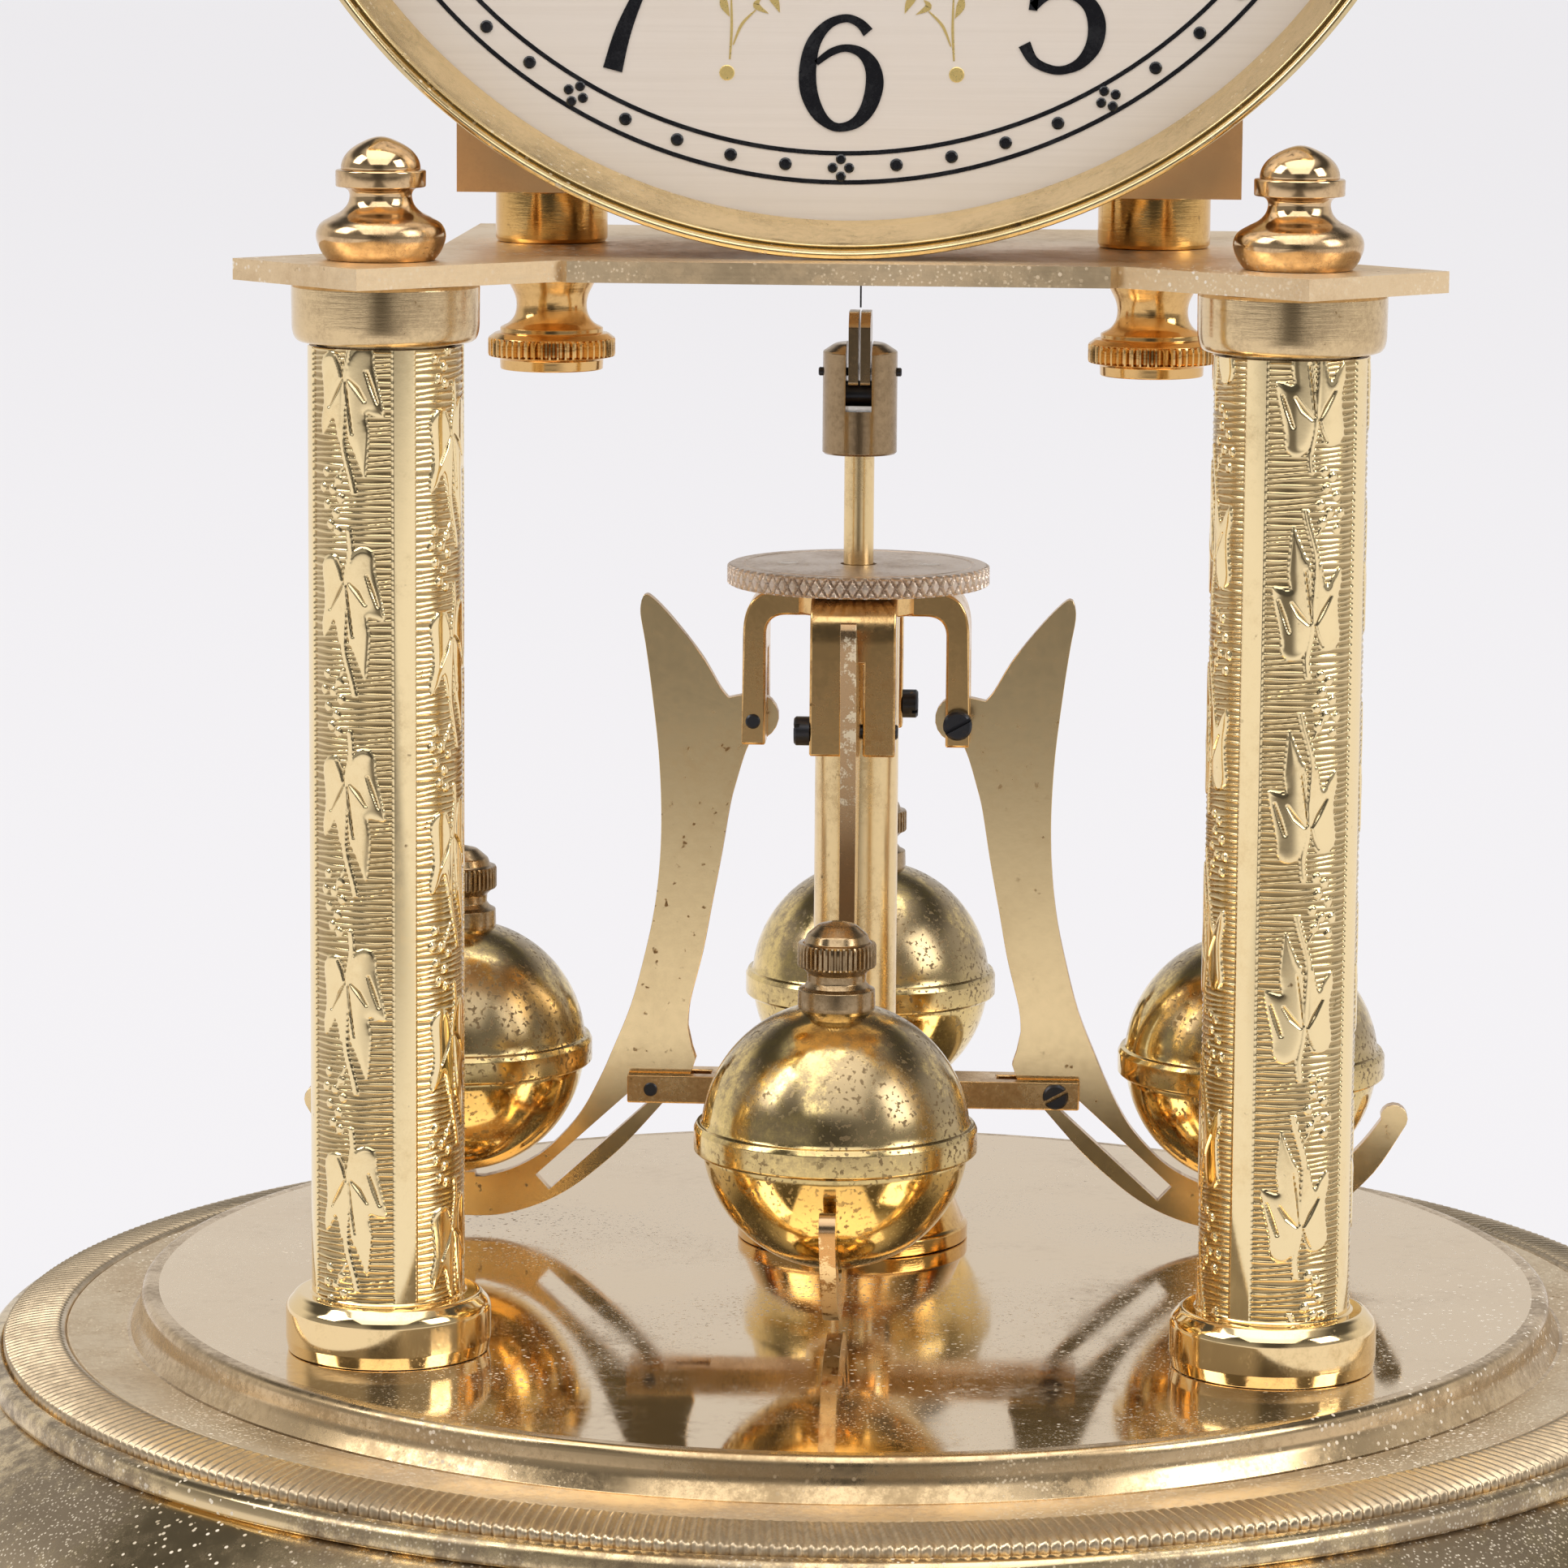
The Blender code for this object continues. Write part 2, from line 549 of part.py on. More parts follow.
def make_anchor(wheel_y):
    """Pallets over the escape wheel, with the upright pin that drives the fork."""
    reach = ANCHOR_AT[1] - ESCAPE_AT[1]
    shape = ([(-2.0, 1.4), (-7.4, -2.6), (-8.2, -6.4), (-7.2, -6.6), (-6.2, -3.2), (-1.6, -1.4),
              (1.6, -1.4), (6.2, -3.2), (7.2, -6.6), (8.2, -6.4), (7.4, -2.6), (2.0, 1.4)])
    pallets = [(x, z * reach / 11.3) for x, z in shape]
    anchor = sheet("anchor", pallets, [], wheel_y[0] - 0.6, wheel_y[1] + 0.6, "steel",
                   upright=True, smooth_deg=0)
    pin_y = AXIS_Y - 5.9
    arbor = rod("arbor", (0, FRONT_Y + 0.2, 0), (0, pin_y + 0.8, 0), 0.9, "steel", 10)
    tip = rod("tip", (0, FRONT_Y + 0.2, 0), (0, FRONT_Y + 1.8, 0), 1.6, "steel", 10)
    spindle = rod("spindle", (0, FRONT_Y - 0.2, 0), (0, FRONT_Y + 2.4, 0), PIVOT_R, "steel", 10)
    cut(arbor, tip)
    join(arbor, spindle)
    pin = rod("pin", (0, pin_y, 0), (0, pin_y, 11.0), 0.55, "steel", 10)
    join(anchor, arbor, pin)
    place(anchor, ANCHOR_AT[0], 0.0, ANCHOR_AT[1])


def make_ratchet():
    low, high = BACK_Y + PLATE_T + GAP, BACK_Y + PLATE_T + GAP + 1.3
    step = math.tau / RATCHET_TEETH
    teeth = []
    for k in range(RATCHET_TEETH):
        for radius, lead in ((RATCHET_R - 1.2, 0.48), (RATCHET_R, 0.6)):
            turn = (k + lead) * step
            teeth.append((radius * math.cos(turn), radius * math.sin(turn)))
    hole = [(1.8, 1.8), (-1.8, 1.8), (-1.8, -1.8), (1.8, -1.8)]
    wheel_obj = sheet("ratchet_wheel", teeth, [hole], low, high, "steel", upright=True,
                      smooth_deg=0)
    place(wheel_obj, BARREL_AT[0], 0.0, BARREL_AT[1])

    # The click's nose rests in a tooth space; its shoulder screw turns in the back plate.
    click_x = 10.6
    body = [(4.2, 4.9), (5.9, 4.75), (6.6, 4.2), (7.9, 1.9), (8.9, -0.8), (10.6, -1.9),
            (12.2, -1.0), (12.5, 0.8), (10.6, 3.6), (6.9, 6.2), (4.9, 6.0), (4.4, 5.5)]
    body = [(x - click_x, z) for x, z in body]
    click = sheet("click", body, [], low, high, "steel", upright=True, smooth_deg=0)
    join(click, rod("screw", (0, BACK_Y + 0.2, 0), (0, high + 0.8, 0), 0.9, "steel", 10))
    place(click, BARREL_AT[0] + click_x, 0.0, BARREL_AT[1])


def make_motion_work():
    cannon_r = pitch_r(CANNON_LEAVES, MINUTE_MODULE) - TOOTH_CLEAR
    reach = pitch_r(CANNON_LEAVES + MINUTE_TEETH, MINUTE_MODULE)
    cannon = [(1.1, -15.9), (1.1, -23.0), (1.6, -23.0), (1.6, -15.9), (cannon_r, -15.9),
              (cannon_r, -14.2), (1.1, -14.2)]
    place(along_y(turned("cannon_pinion", cannon, "steel", 12, ring=True)), 0.0, 0.0, DIAL_Z)
    hour_r = pitch_r(HOUR_TEETH, HOUR_MODULE) - TOOTH_CLEAR
    hour = [(2.0, -16.2), (2.0, -21.3), (2.6, -21.3), (2.6, -17.2), (hour_r, -17.2),
            (hour_r, -16.2)]
    place(along_y(turned("hour_wheel", hour, "polished_brass", 20, ring=True)), 0.0, 0.0, DIAL_Z)
    minute_r = pitch_r(MINUTE_TEETH, MINUTE_MODULE) - TOOTH_CLEAR
    leaf_r = pitch_r(MINUTE_LEAVES, HOUR_MODULE) - TOOTH_CLEAR
    minute = [(0.0, -12.2), (PIVOT_R, -12.2), (PIVOT_R, -13.9), (minute_r, -13.9),
              (minute_r, -14.9), (leaf_r, -14.9), (leaf_r, -17.6), (0.7, -17.6), (0.7, -18.4),
              (0.0, -18.4)]
    place(along_y(turned("minute_wheel", minute, "polished_brass", 16)),
          0.0, 0.0, DIAL_Z - reach)


def hand(name, at_y, length, width, eye_r, hole_r, turn_deg):
    """Slim leaf hand: round eye, thin stem, long leaf. Drawn along +Z, then turned."""
    eye = arc(0, 0, eye_r, 110, 430, 10)
    leaf = [(0.5, length * 0.38), (width / 2, length * 0.62), (width * 0.3, length * 0.82),
            (0.0, length)]
    outline = eye + leaf + [(-x, z) for x, z in reversed(leaf[:-1])]
    piece = sheet(name, outline, [circle(0, 0, hole_r)], at_y, at_y + 0.4, "blued_steel",
                  upright=True, smooth_deg=0)
    piece.data.transform(Matrix.Rotation(math.radians(turn_deg), 4, "Y"))
    return place(piece, 0.0, 0.0, DIAL_Z)


def make_dial():
    hand("hour_hand", -21.9, 27.0, 4.4, 4.2, 1.9, HOUR_ANGLE)
    hand("minute_hand", -23.6, 41.0, 3.6, 3.2, 1.1, MINUTE_ANGLE)
    nut = [(1.05, -25.0), (2.0, -25.0), (2.3, -24.6), (2.3, -23.9), (1.05, -23.9)]
    place(along_y(turned("hand_nut", nut, "satin_brass", 12, ring=True)), 0.0, 0.0, DIAL_Z)

    dial = sheet("dial", circle(0, 0, DIAL_R, 40), [circle(0, 0, 3.1)], DIAL_Y, DIAL_Y + 0.8,
                 "dial_silver", upright=True)
    feet = [(-28.0, 20.0), (28.0, 20.0), (0.0, -36.0)]
    join(dial, *[rod("foot", (x, DIAL_Y + 0.4, z), (x, FRONT_Y - GAP, z), 1.3, "satin_brass", 10)
                 for x, z in feet])
    place(dial, 0.0, 0.0, DIAL_Z)

    inner, recess = 52.6, DIAL_R + GAP
    bezel = ([(inner, DIAL_Y - GAP), (inner + 0.2, DIAL_Y - 1.0), (53.7, BEZEL_Y + 1.6)]
             + arc(BEZEL_R - 0.9, BEZEL_Y + 0.9, 0.9, 220, 360, 3)
             + [(BEZEL_R - 0.7, BEZEL_Y + 4.0), (54.8, DIAL_Y + 2.0),
                (recess, DIAL_Y + 2.0), (recess, DIAL_Y - GAP)])
    place(along_y(turned("bezel", bezel, "satin_brass", 32, ring=True)), 0.0, 0.0, DIAL_Z)


# ---------------------------------------------------------------- suspension

def make_suspension():
    low = BACK_Y + PLATE_T + GAP
    post = sheet("suspension_bracket", [(-7, 206), (7, 206), (7, 232), (-7, 232)],
                 [circle(*ANCHOR_AT, 3.0, 12)], low, low + 2.0, "satin_brass",
                 upright=True, smooth_deg=0)
    join(post, block("arm", (-5.6, low + 0.4, 231), (5.6, AXIS_Y + 4.4, 234), "satin_brass"))
    cut(post, block("notch", (-1.7, AXIS_Y - 3.2, 230), (1.7, AXIS_Y + 6, 236), "satin_brass"))

    top = block("top_block", (-1.2, -2.5, -6.0), (1.2, 2.5, 3.2), "copper_brass")
    join(top, rod("cross_pin", (-4.6, 0, 1.3), (4.6, 0, 1.3), 0.8, "steel", 10))
    place(top, 0.0, AXIS_Y, 234.2)

    wire_high = 234.2 - 6.0 - GAP
    wire_low = LIFT + 89.9 + GAP
    place(block("suspension_wire", (-0.08, -0.3, wire_low), (0.08, 0.3, wire_high), "steel"),
          0.0, AXIS_Y, 0.0)

    outline = [(-2.2, 2.2), (-2.2, -3.2), (-1.9, -8.2), (-1.0, -8.2), (-1.0, -3.4),
               (1.0, -3.4), (1.0, -8.2), (1.9, -8.2), (2.2, -3.2), (2.2, 2.2)]
    hole = [(-0.5, -0.7), (0.5, -0.7), (0.5, 0.7), (-0.5, 0.7)]
    fork_z = ANCHOR_AT[1] + 8.0
    place(sheet("fork", outline, [hole], 0.0, 1.2, "satin_brass", smooth_deg=0),
          0.0, AXIS_Y, fork_z)


# ---------------------------------------------------------------- pendulum

def make_hook(pendulum):
    """Slotted cylinder and rod that carry the pendulum, and the strip's lower block."""
    profile = [(0.0, 55.3), (1.45, 55.3), (1.45, 77.0), (3.4, 77.0), (3.6, 77.2), (3.6, 86.3),
               (2.7, 87.2), (0.0, 87.2)]
    hook = turned("hook", profile, "satin_brass", 14)
    cut(hook, block("slot", (-1.45, -6, 80.6), (1.45, 6, 90), "satin_brass"))
    join(hook, rod("hook_pin", (-4.1, 0, 84.3), (4.1, 0, 84.3), 0.45, "steel", 8))
    low = block("bottom_block", (-1.1, -2.5, 82.0), (1.1, 2.5, 89.9), "copper_brass")
    cut(low, rod("pin_hole", (-3, 0, 84.3), (3, 0, 84.3), 0.8, "steel", 10))
    for piece in (hook, low):
        place(piece, 0.0, AXIS_Y, LIFT)
    carry(pendulum, hook, low)


def quarter(shape, k):
    shape.data.transform(Matrix.Rotation(k * math.pi / 2, 4, "Z"))
    return shape


def make_cross(pendulum):
    """Centre tube with the four forked arms that hold the slot pins."""
    top = DISC_Z - GAP - 1.0
    profile = [(0.0, 5.0), (1.6, 5.0), (2.0, 5.6), (2.0, 9.6), (4.6, 10.6), (4.6, 15.6),
               (4.05, 16.2), (4.05, top), (1.8, top), (1.8, 54.9), (0.0, 54.9)]
    cross = turned("lower_cross", profile, "satin_brass", 16)
    radius, height = LOW_PIN
    for k in range(4):
        arm = block("arm", (3.0, -2.7, height - 1.35), (radius + 2.4, 2.7, height + 1.35),
                    "satin_brass")
        cut(arm, block("slot", (14.0, -FORK_GAP / 2, height - 3),
                       (radius + 4, FORK_GAP / 2, height + 3), "satin_brass"))
        join(arm, rod("pin", (radius, -2.5, height), (radius, 2.5, height), 0.7, "steel", 8))
        join(cross, quarter(arm, k))
    carry(pendulum, place(cross, 0.0, AXIS_Y, LIFT))


def make_bracket(slider):
    """Sliding spider whose bent-down arms hold the levers' upper pivots."""
    high = DISC_Z - GAP
    radius, height = TOP_PIVOT
    hub = [(4.4, high - ARM_T), (6.6, high - ARM_T), (6.6, high), (4.4, high)]
    bracket = turned("upper_bracket", hub, "satin_brass", 16, ring=True)
    out = radius + ARM_T / 2
    bend = ARM_T + 1.4
    outer = arc(out - bend, high - bend, bend, 90, 0, 4)
    inner = arc(out - bend, high - bend, bend - ARM_T, 0, 90, 3)
    profile = ([(5.2, high - ARM_T), (5.2, high)] + outer
               + [(out, height - 2.3), (out - ARM_T, height - 2.3)] + inner)
    for k in range(4):
        arm = sheet("arm", profile, [], -4.1, 4.1, "satin_brass", upright=True)
        slot = sheet("slot", [(-FORK_GAP / 2, height - 4), (FORK_GAP / 2, height - 4),
                              (FORK_GAP / 2, 56.0), (-FORK_GAP / 2, 56.0)], [], -out - 2, -4.5,
                     "satin_brass", upright=True, smooth_deg=0)
        cut(arm, quarter(slot, 1))
        join(arm, rod("pin", (radius, -3.9, height), (radius, 3.9, height), 0.75, "steel", 8))
        join(bracket, quarter(arm, k))
    carry(slider, place(bracket, 0.0, AXIS_Y, LIFT))


def lever_outline():
    """Side view of a lever, radius outward and height up from the deck."""
    horn_out = [(20.2, 62.2), (20.9, 61.7), (20.9, 59.8), (20.0, 53.0), (19.1, 43.0),
                (19.5, 31.5), (21.9, 21.6), (25.1, 14.2), (28.9, 8.6), (33.0, 5.2), (37.2, 4.0)]
    seat = [(37.2, 4.5), (40.4, 4.5), (40.4, 4.0)]
    hook_in = [(40.4, 4.0), (44.5, 4.9), (48.6, 7.8), (51.6, 11.4)]
    tip = arc(52.8, 11.9, 1.35, 160, -30, 4)
    hook_out = [(53.6, 10.6), (50.6, 5.8), (46.4, 2.0), (41.0, 0.3), (36.0, 0.2), (30.6, 1.7),
                (25.0, 5.4), (18.6, 12.0)]
    heel = [(16.0, 14.2), (15.6, 16.2)]
    waist = [(16.4, 19.4), (15.0, 27.0), (13.0, 37.0), (12.3, 41.5), (11.3, 45.4), (10.3, 48.1)]
    ear = arc(TOP_PIVOT[0], TOP_PIVOT[1], 2.4, 275, 55, 6)
    horn_in = [(13.2, 52.9), (14.9, 56.0), (18.3, 60.6), (20.2, 62.2)]
    return (smooth_line(horn_out, 2) + seat + smooth_line(hook_in, 2)[1:] + tip
            + smooth_line(hook_out, 2) + heel + smooth_line(waist, 2) + ear[1:]
            + smooth_line(horn_in, 2)[:-1])


def make_lever(name, slider, turn_deg):
    """Lever with its ball and nut, built outward along +X, then turned into place."""
    radius, height = TOP_PIVOT
    out = Vector((math.cos(math.radians(turn_deg)), math.sin(math.radians(turn_deg))))
    pivot = joint_at(name + "_pivot", out.x * radius, AXIS_Y + out.y * radius, height + LIFT,
                     turn_deg, slider)

    low, end = Vector(LOW_PIN), Vector(SLOT_END)
    run = (end - low).normalized()
    side = Vector((-run.y, run.x)) * 1.0
    slot_turn = math.degrees(math.atan2(side.y, side.x))
    slot = arc(low.x, low.y, 1.0, slot_turn, slot_turn + 180, 6)
    slot += [tuple(end - side), tuple(end + side)]
    holes = [slot, circle(radius, height, 1.05, 12)]
    lever = sheet("lever_" + name, lever_outline(), holes, -LEVER_T / 2, LEVER_T / 2,
                  "polished_brass", upright=True, smooth_deg=50)

    ball = ([(0.0, -12.3), (2.2, -12.3)] + arc(0, 0, BALL_R, -70, -12, 4)
            + [(BAND_R, -2.2), (BAND_R, 0.9), (BALL_R + 0.2, 1.8)]
            + arc(0, 0.3, BALL_R, 16, 70, 4) + [(2.4, 12.4), (0.0, 12.4)])
    ball = turned("ball_" + name, ball, "polished_brass", 16)
    nut = [(0.0, 12.7), (3.5, 12.7), (3.5, 13.6), (2.9, 14.0), (2.4, 14.9), (2.8, 15.6),
           (3.57, 15.9), (3.57, 18.0), (3.1, 18.3), (2.5, 19.2), (1.3, 19.8), (0.0, 19.95)]
    nut = turned("ball_nut_" + name, nut, "copper_brass", 12)
    at = (BALL_AT[0] - radius, 0.0, BALL_AT[1] - height)
    lever.data.transform(Matrix.Translation(Vector((-radius, 0.0, -height)) * MM))
    for piece, spot in ((lever, (0, 0, 0)), (ball, at), (nut, at)):
        piece.parent = pivot
        piece.location = Vector(spot) * MM


def make_pendulum():
    pendulum = joint_at("pendulum_axis", 0.0, AXIS_Y, LIFT)
    make_hook(pendulum)
    make_cross(pendulum)
    slider = joint_at("bracket_slide", 0.0, AXIS_Y, LIFT, parent=pendulum)
    make_bracket(slider)
    disc = sheet("regulating_disc", circle(0, 0, DISC_R, 32),
                 [circle(0, 0, 1.75), circle(-6.9, 0, 0.9, 8), circle(6.9, 0, 0.9, 8)],
                 DISC_Z, DISC_Z + 2.0, "satin_brass")
    carry(slider, place(disc, 0.0, AXIS_Y, LIFT))
    for name, turn in (("right", 0), ("back", 90), ("left", 180), ("front", 270)):
        make_lever(name, slider, turn)


def main():
    clear_scene()
    make_base()
    for side, sx in (("left", -1), ("right", 1)):
        make_column(side, sx)
    make_platform()
    places = arbor_places()
    make_plates(places)
    make_train(places)
    make_motion_work()
    make_dial()
    make_suspension()
    make_pendulum()
    bpy.context.view_layer.update()


main()
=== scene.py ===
import math

import bmesh
import bpy
import numpy as np
from mathutils import Matrix, Vector
from mathutils.geometry import delaunay_2d_cdt


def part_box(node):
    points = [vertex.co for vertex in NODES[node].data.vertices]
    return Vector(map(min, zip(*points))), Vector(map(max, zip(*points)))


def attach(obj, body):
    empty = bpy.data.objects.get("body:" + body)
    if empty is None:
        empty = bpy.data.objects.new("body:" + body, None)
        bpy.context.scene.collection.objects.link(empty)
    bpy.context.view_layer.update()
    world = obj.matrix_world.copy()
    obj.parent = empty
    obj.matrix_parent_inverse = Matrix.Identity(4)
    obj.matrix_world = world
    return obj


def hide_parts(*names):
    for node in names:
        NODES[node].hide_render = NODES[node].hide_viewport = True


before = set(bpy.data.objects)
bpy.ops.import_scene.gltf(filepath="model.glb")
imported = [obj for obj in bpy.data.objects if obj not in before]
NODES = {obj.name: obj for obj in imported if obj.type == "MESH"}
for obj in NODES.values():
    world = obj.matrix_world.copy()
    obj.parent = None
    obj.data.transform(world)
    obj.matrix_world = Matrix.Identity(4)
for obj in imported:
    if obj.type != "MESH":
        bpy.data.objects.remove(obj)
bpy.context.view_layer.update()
MM = 0.001
GAP = 0.3                       # between neighbouring CAD pieces
SEAT = 0.04                     # between two shown pieces that touch

# Places in millimetres, in the CAD's frame
DECK = 30.0                     # top of the base
COLUMN = (40.0, -32.0)          # across and back
PLATFORM, TOP = 126.7, 128.6    # the platform's two faces
FINIAL_X = 40.4
AXIS_Y = 16.9                   # the pendulum's axis
LIFT = 31.0                     # the pendulum's heights count from here
PENDULUM = (0, AXIS_Y, LIFT)
DIAL_Z, DIAL_Y = 184.4, -19.8   # centre and front face of the dial
SKIN, BORE = 6.95, 6.2          # radii of a column's tube
PIVOT = (9.9, 50.4)             # pivot of a lever: out from the axis, up from LIFT
SLOT_PIN = (19.8, 13.65)        # pin in a lever's slot
BALL = (38.8, 17.2)             # centre of a ball


# ---------------------------------------------------------------- materials

def is_socket(value):
    return isinstance(value, bpy.types.NodeSocket)


def feed(made, inputs):
    """Sets inputs of a node. Each is a number, a colour or the socket to link from."""
    for key, value in inputs.items():
        if is_socket(value):
            made.id_data.links.new(value, made.inputs[key])
        else:
            made.inputs[key].default_value = value


def node(tree, kind, inputs=None, **settings):
    made = tree.nodes.new("ShaderNode" + kind)
    for key, value in settings.items():
        setattr(made, key, value)
    feed(made, inputs or {})
    return made


def calc(operation, *values):
    """Math on numbers and sockets, in the node tree of the first socket."""
    tree = next(v for v in values if is_socket(v)).id_data
    return node(tree, "Math", dict(enumerate(values)), operation=operation).outputs[0]


def times(a, b):
    return calc("MULTIPLY", a, b)


def mad(a, b, c):
    """a times b, plus c."""
    return calc("MULTIPLY_ADD", a, b, c)


def split(vector):
    return node(vector.id_data, "SeparateXYZ", {0: vector}).outputs


def noise(co, scale, detail, rough, stretch=None):
    tree = co.id_data
    if stretch:
        co = node(tree, "Mapping", {"Vector": co, "Scale": stretch}).outputs[0]
    return node(tree, "TexNoise", {"Vector": co, "Scale": scale, "Detail": detail,
        "Roughness": rough}).outputs[0]


def cells(co, scale):
    """Distance to the nearest of scattered points."""
    return node(co.id_data, "TexVoronoi", {"Vector": co, "Scale": scale}).outputs["Distance"]


def ramp(value, low, high):
    """0 below low, 1 above high."""
    return node(value.id_data, "MapRange", {"Value": value, "From Min": low, "From Max": high},
        interpolation_type="SMOOTHSTEP").outputs[0]


def blend(amount, a, b):
    """Colour a where amount is 0, b where it is 1."""
    colours = {key: c if is_socket(c) else (*c, 1.0) for key, c in ((6, a), (7, b))}
    return node(amount.id_data, "Mix", {0: amount, **colours}, data_type="RGBA").outputs[2]


def start(name):
    mat = bpy.data.materials.new(name)
    mat.use_nodes = True
    co = node(mat.node_tree, "TexCoord").outputs["Object"]
    return mat, mat.node_tree.nodes["Principled BSDF"], co


def emboss(shader, height, depth, strength=0.5):
    """Fine relief on a material, depth in millimetres."""
    push = node(shader.id_data, "Bump", {"Strength": strength, "Distance": depth * MM,
        "Height": height})
    feed(shader, {"Normal": push.outputs[0]})


def metal(name, colour, tarnish, amount, grain, rough, bump, spots=(0.70, 0.80),
          spot=(0.20, 0.12, 0.05), spot_scale=900.0, lines=None, dust=None, recess=None,
          upper=None, metallic=1.0):
    """Aged brass or steel: mottled colour, uneven gloss, specks, fine lines and dust.

    amount is the noise band over which the tarnish sets in, rough the least and most
    roughness and bump the depth of the grain. lines is the stretch of fine scratches, dust
    the noise band that shows dust, recess (radius, depth) the dark ground of an embossed
    tube, and upper (z, z) in metres fades the darker colour out below a height, so that
    the piece is darker towards its top.
    """
    mat, shader, co = start(name)
    tree = co.id_data
    cloud = noise(co, grain, 6.0, 0.62)
    fine = noise(co, grain * 14, 3.0, 0.6)
    both = mad(noise(co, 5200.0, 2.0, 0.5), 0.14, mad(fine, 0.30, times(cloud, 0.62)))
    dull = ramp(both, *amount)
    # Below the upper band the darker colour fades out, so the piece is darker towards its top
    if upper:
        dull = times(dull, mad(ramp(split(co)[2], *upper), 0.92, 0.08))
    speck = times(ramp(noise(co, spot_scale, 2.0, 0.5), *spots), ramp(cloud, 0.42, 0.62))
    tint = blend(speck, blend(dull, colour, tarnish), spot)
    gloss = node(tree, "MapRange", {"Value": both, "From Min": 0.35, "From Max": 0.75,
        "To Min": rough[0], "To Max": rough[1]}).outputs[0]
    gloss = mad(speck, 0.35, mad(dull, 0.16, gloss))
    relief, shine = times(fine, 0.5), metallic
    if lines:
        hair = noise(co, 260.0, 5.0, 0.7, lines)
        relief = mad(hair, 0.03 / bump, relief)
        tint = blend(times(ramp(hair, 0.5, 0.8), 0.25), tint, [0.7 * c for c in colour])
    if recess:
        x, y, _ = split(co)
        flat = node(tree, "CombineXYZ", {0: x, 1: y}).outputs[0]
        radius = node(tree, "VectorMath", {0: flat}, operation="LENGTH").outputs["Value"]
        deep = times(ramp(radius, recess[0] * MM, (recess[0] - recess[1]) * MM),
            mad(cloud, 0.5, 0.55))
        tint = blend(deep, tint, (0.27, 0.17, 0.06))
        gloss = mad(deep, 0.25, gloss)
    if dust:
        film = times(ramp(noise(co, 38.0, 5.0, 0.6), *dust),
            mad(ramp(cells(co, 2300.0), 0.34, 0.16), 0.62, 0.10))
        crumbs = times(ramp(cells(co, 1150.0), 0.24, 0.17),
            ramp(noise(co, 24.0, 4.0, 0.6), 0.46, 0.62))
        for layer, shade, cover in ((film, (0.78, 0.70, 0.56), 0.8),
                (crumbs, (0.80, 0.72, 0.60), 0.9)):
            tint = blend(layer, tint, shade)
            gloss = mad(layer, 0.5, gloss)
            shine = calc("SUBTRACT", shine, times(layer, cover))
    feed(shader, {"Base Color": tint, "Roughness": gloss, "Metallic": shine})
    emboss(shader, relief, bump)
    return mat


def make_dial_material():
    """Silvered dial, brushed from side to side under a thin cream lacquer."""
    mat, shader, co = start("dial_silver_brushed")
    hair = noise(co, 1500.0, 4.0, 0.7, (0.012, 1.0, 1.0))
    tint = blend(ramp(hair, 0.35, 0.7), (0.90, 0.80, 0.70), (0.85, 0.75, 0.65))
    cloud = ramp(noise(co, 45.0, 5.0, 0.6), 0.45, 0.75)
    tint = blend(times(cloud, 0.35), tint, (0.84, 0.71, 0.57))
    feed(shader, {"Base Color": tint, "Roughness": mad(hair, 0.18, 0.30), "Metallic": 0.25})
    emboss(shader, hair, 0.01, 0.35)
    return mat


def make_felt():
    mat, shader, co = start("green_felt")
    fibre = noise(co, 2600.0, 6.0, 0.8)
    tint = blend(ramp(fibre, 0.35, 0.7), (0.02, 0.09, 0.05), (0.06, 0.19, 0.11))
    feed(shader, {"Base Color": tint, "Roughness": mad(fibre, 0.1, 0.85), "Sheen Weight": 0.4})
    emboss(shader, fibre, 0.2, 0.8)
    return mat


def make_floor():
    """Pale sweep. Seen in the brass it darkens towards the room in front of the clock."""
    mat, shader, co = start("pale_backdrop")
    tree = co.id_data
    cloud = noise(co, 1.4, 2.0, 0.5)
    x, y, _ = split(co)
    beside = times(ramp(calc("ABSOLUTE", x), 0.08, 0.26), ramp(y, -2.2, -0.6))
    open_floor = calc("MAXIMUM", ramp(y, -0.64, -0.20), beside)
    seen = node(tree, "LightPath").outputs["Is Camera Ray"]
    lit = calc("MAXIMUM", seen, mad(open_floor, 0.82, 0.20))
    feed(shader, {"Base Color": blend(cloud, (0.090, 0.088, 0.091), (0.094, 0.092, 0.095)),
        "Emission Color": blend(cloud, (1.0, 0.98, 1.005), (1.0, 0.985, 1.01)),
        "Emission Strength": times(lit, 0.77), "Roughness": 0.9, "Specular IOR Level": 0.1})
    dark = node(tree, "BsdfDiffuse", {"Color": blend(cloud, (0.10, 0.09, 0.08),
        (0.12, 0.11, 0.10))})
    mixed = node(tree, "MixShader", {0: lit, 1: dark.outputs[0], 2: shader.outputs[0]})
    feed(tree.nodes["Material Output"], {"Surface": mixed.outputs[0]})
    return mat


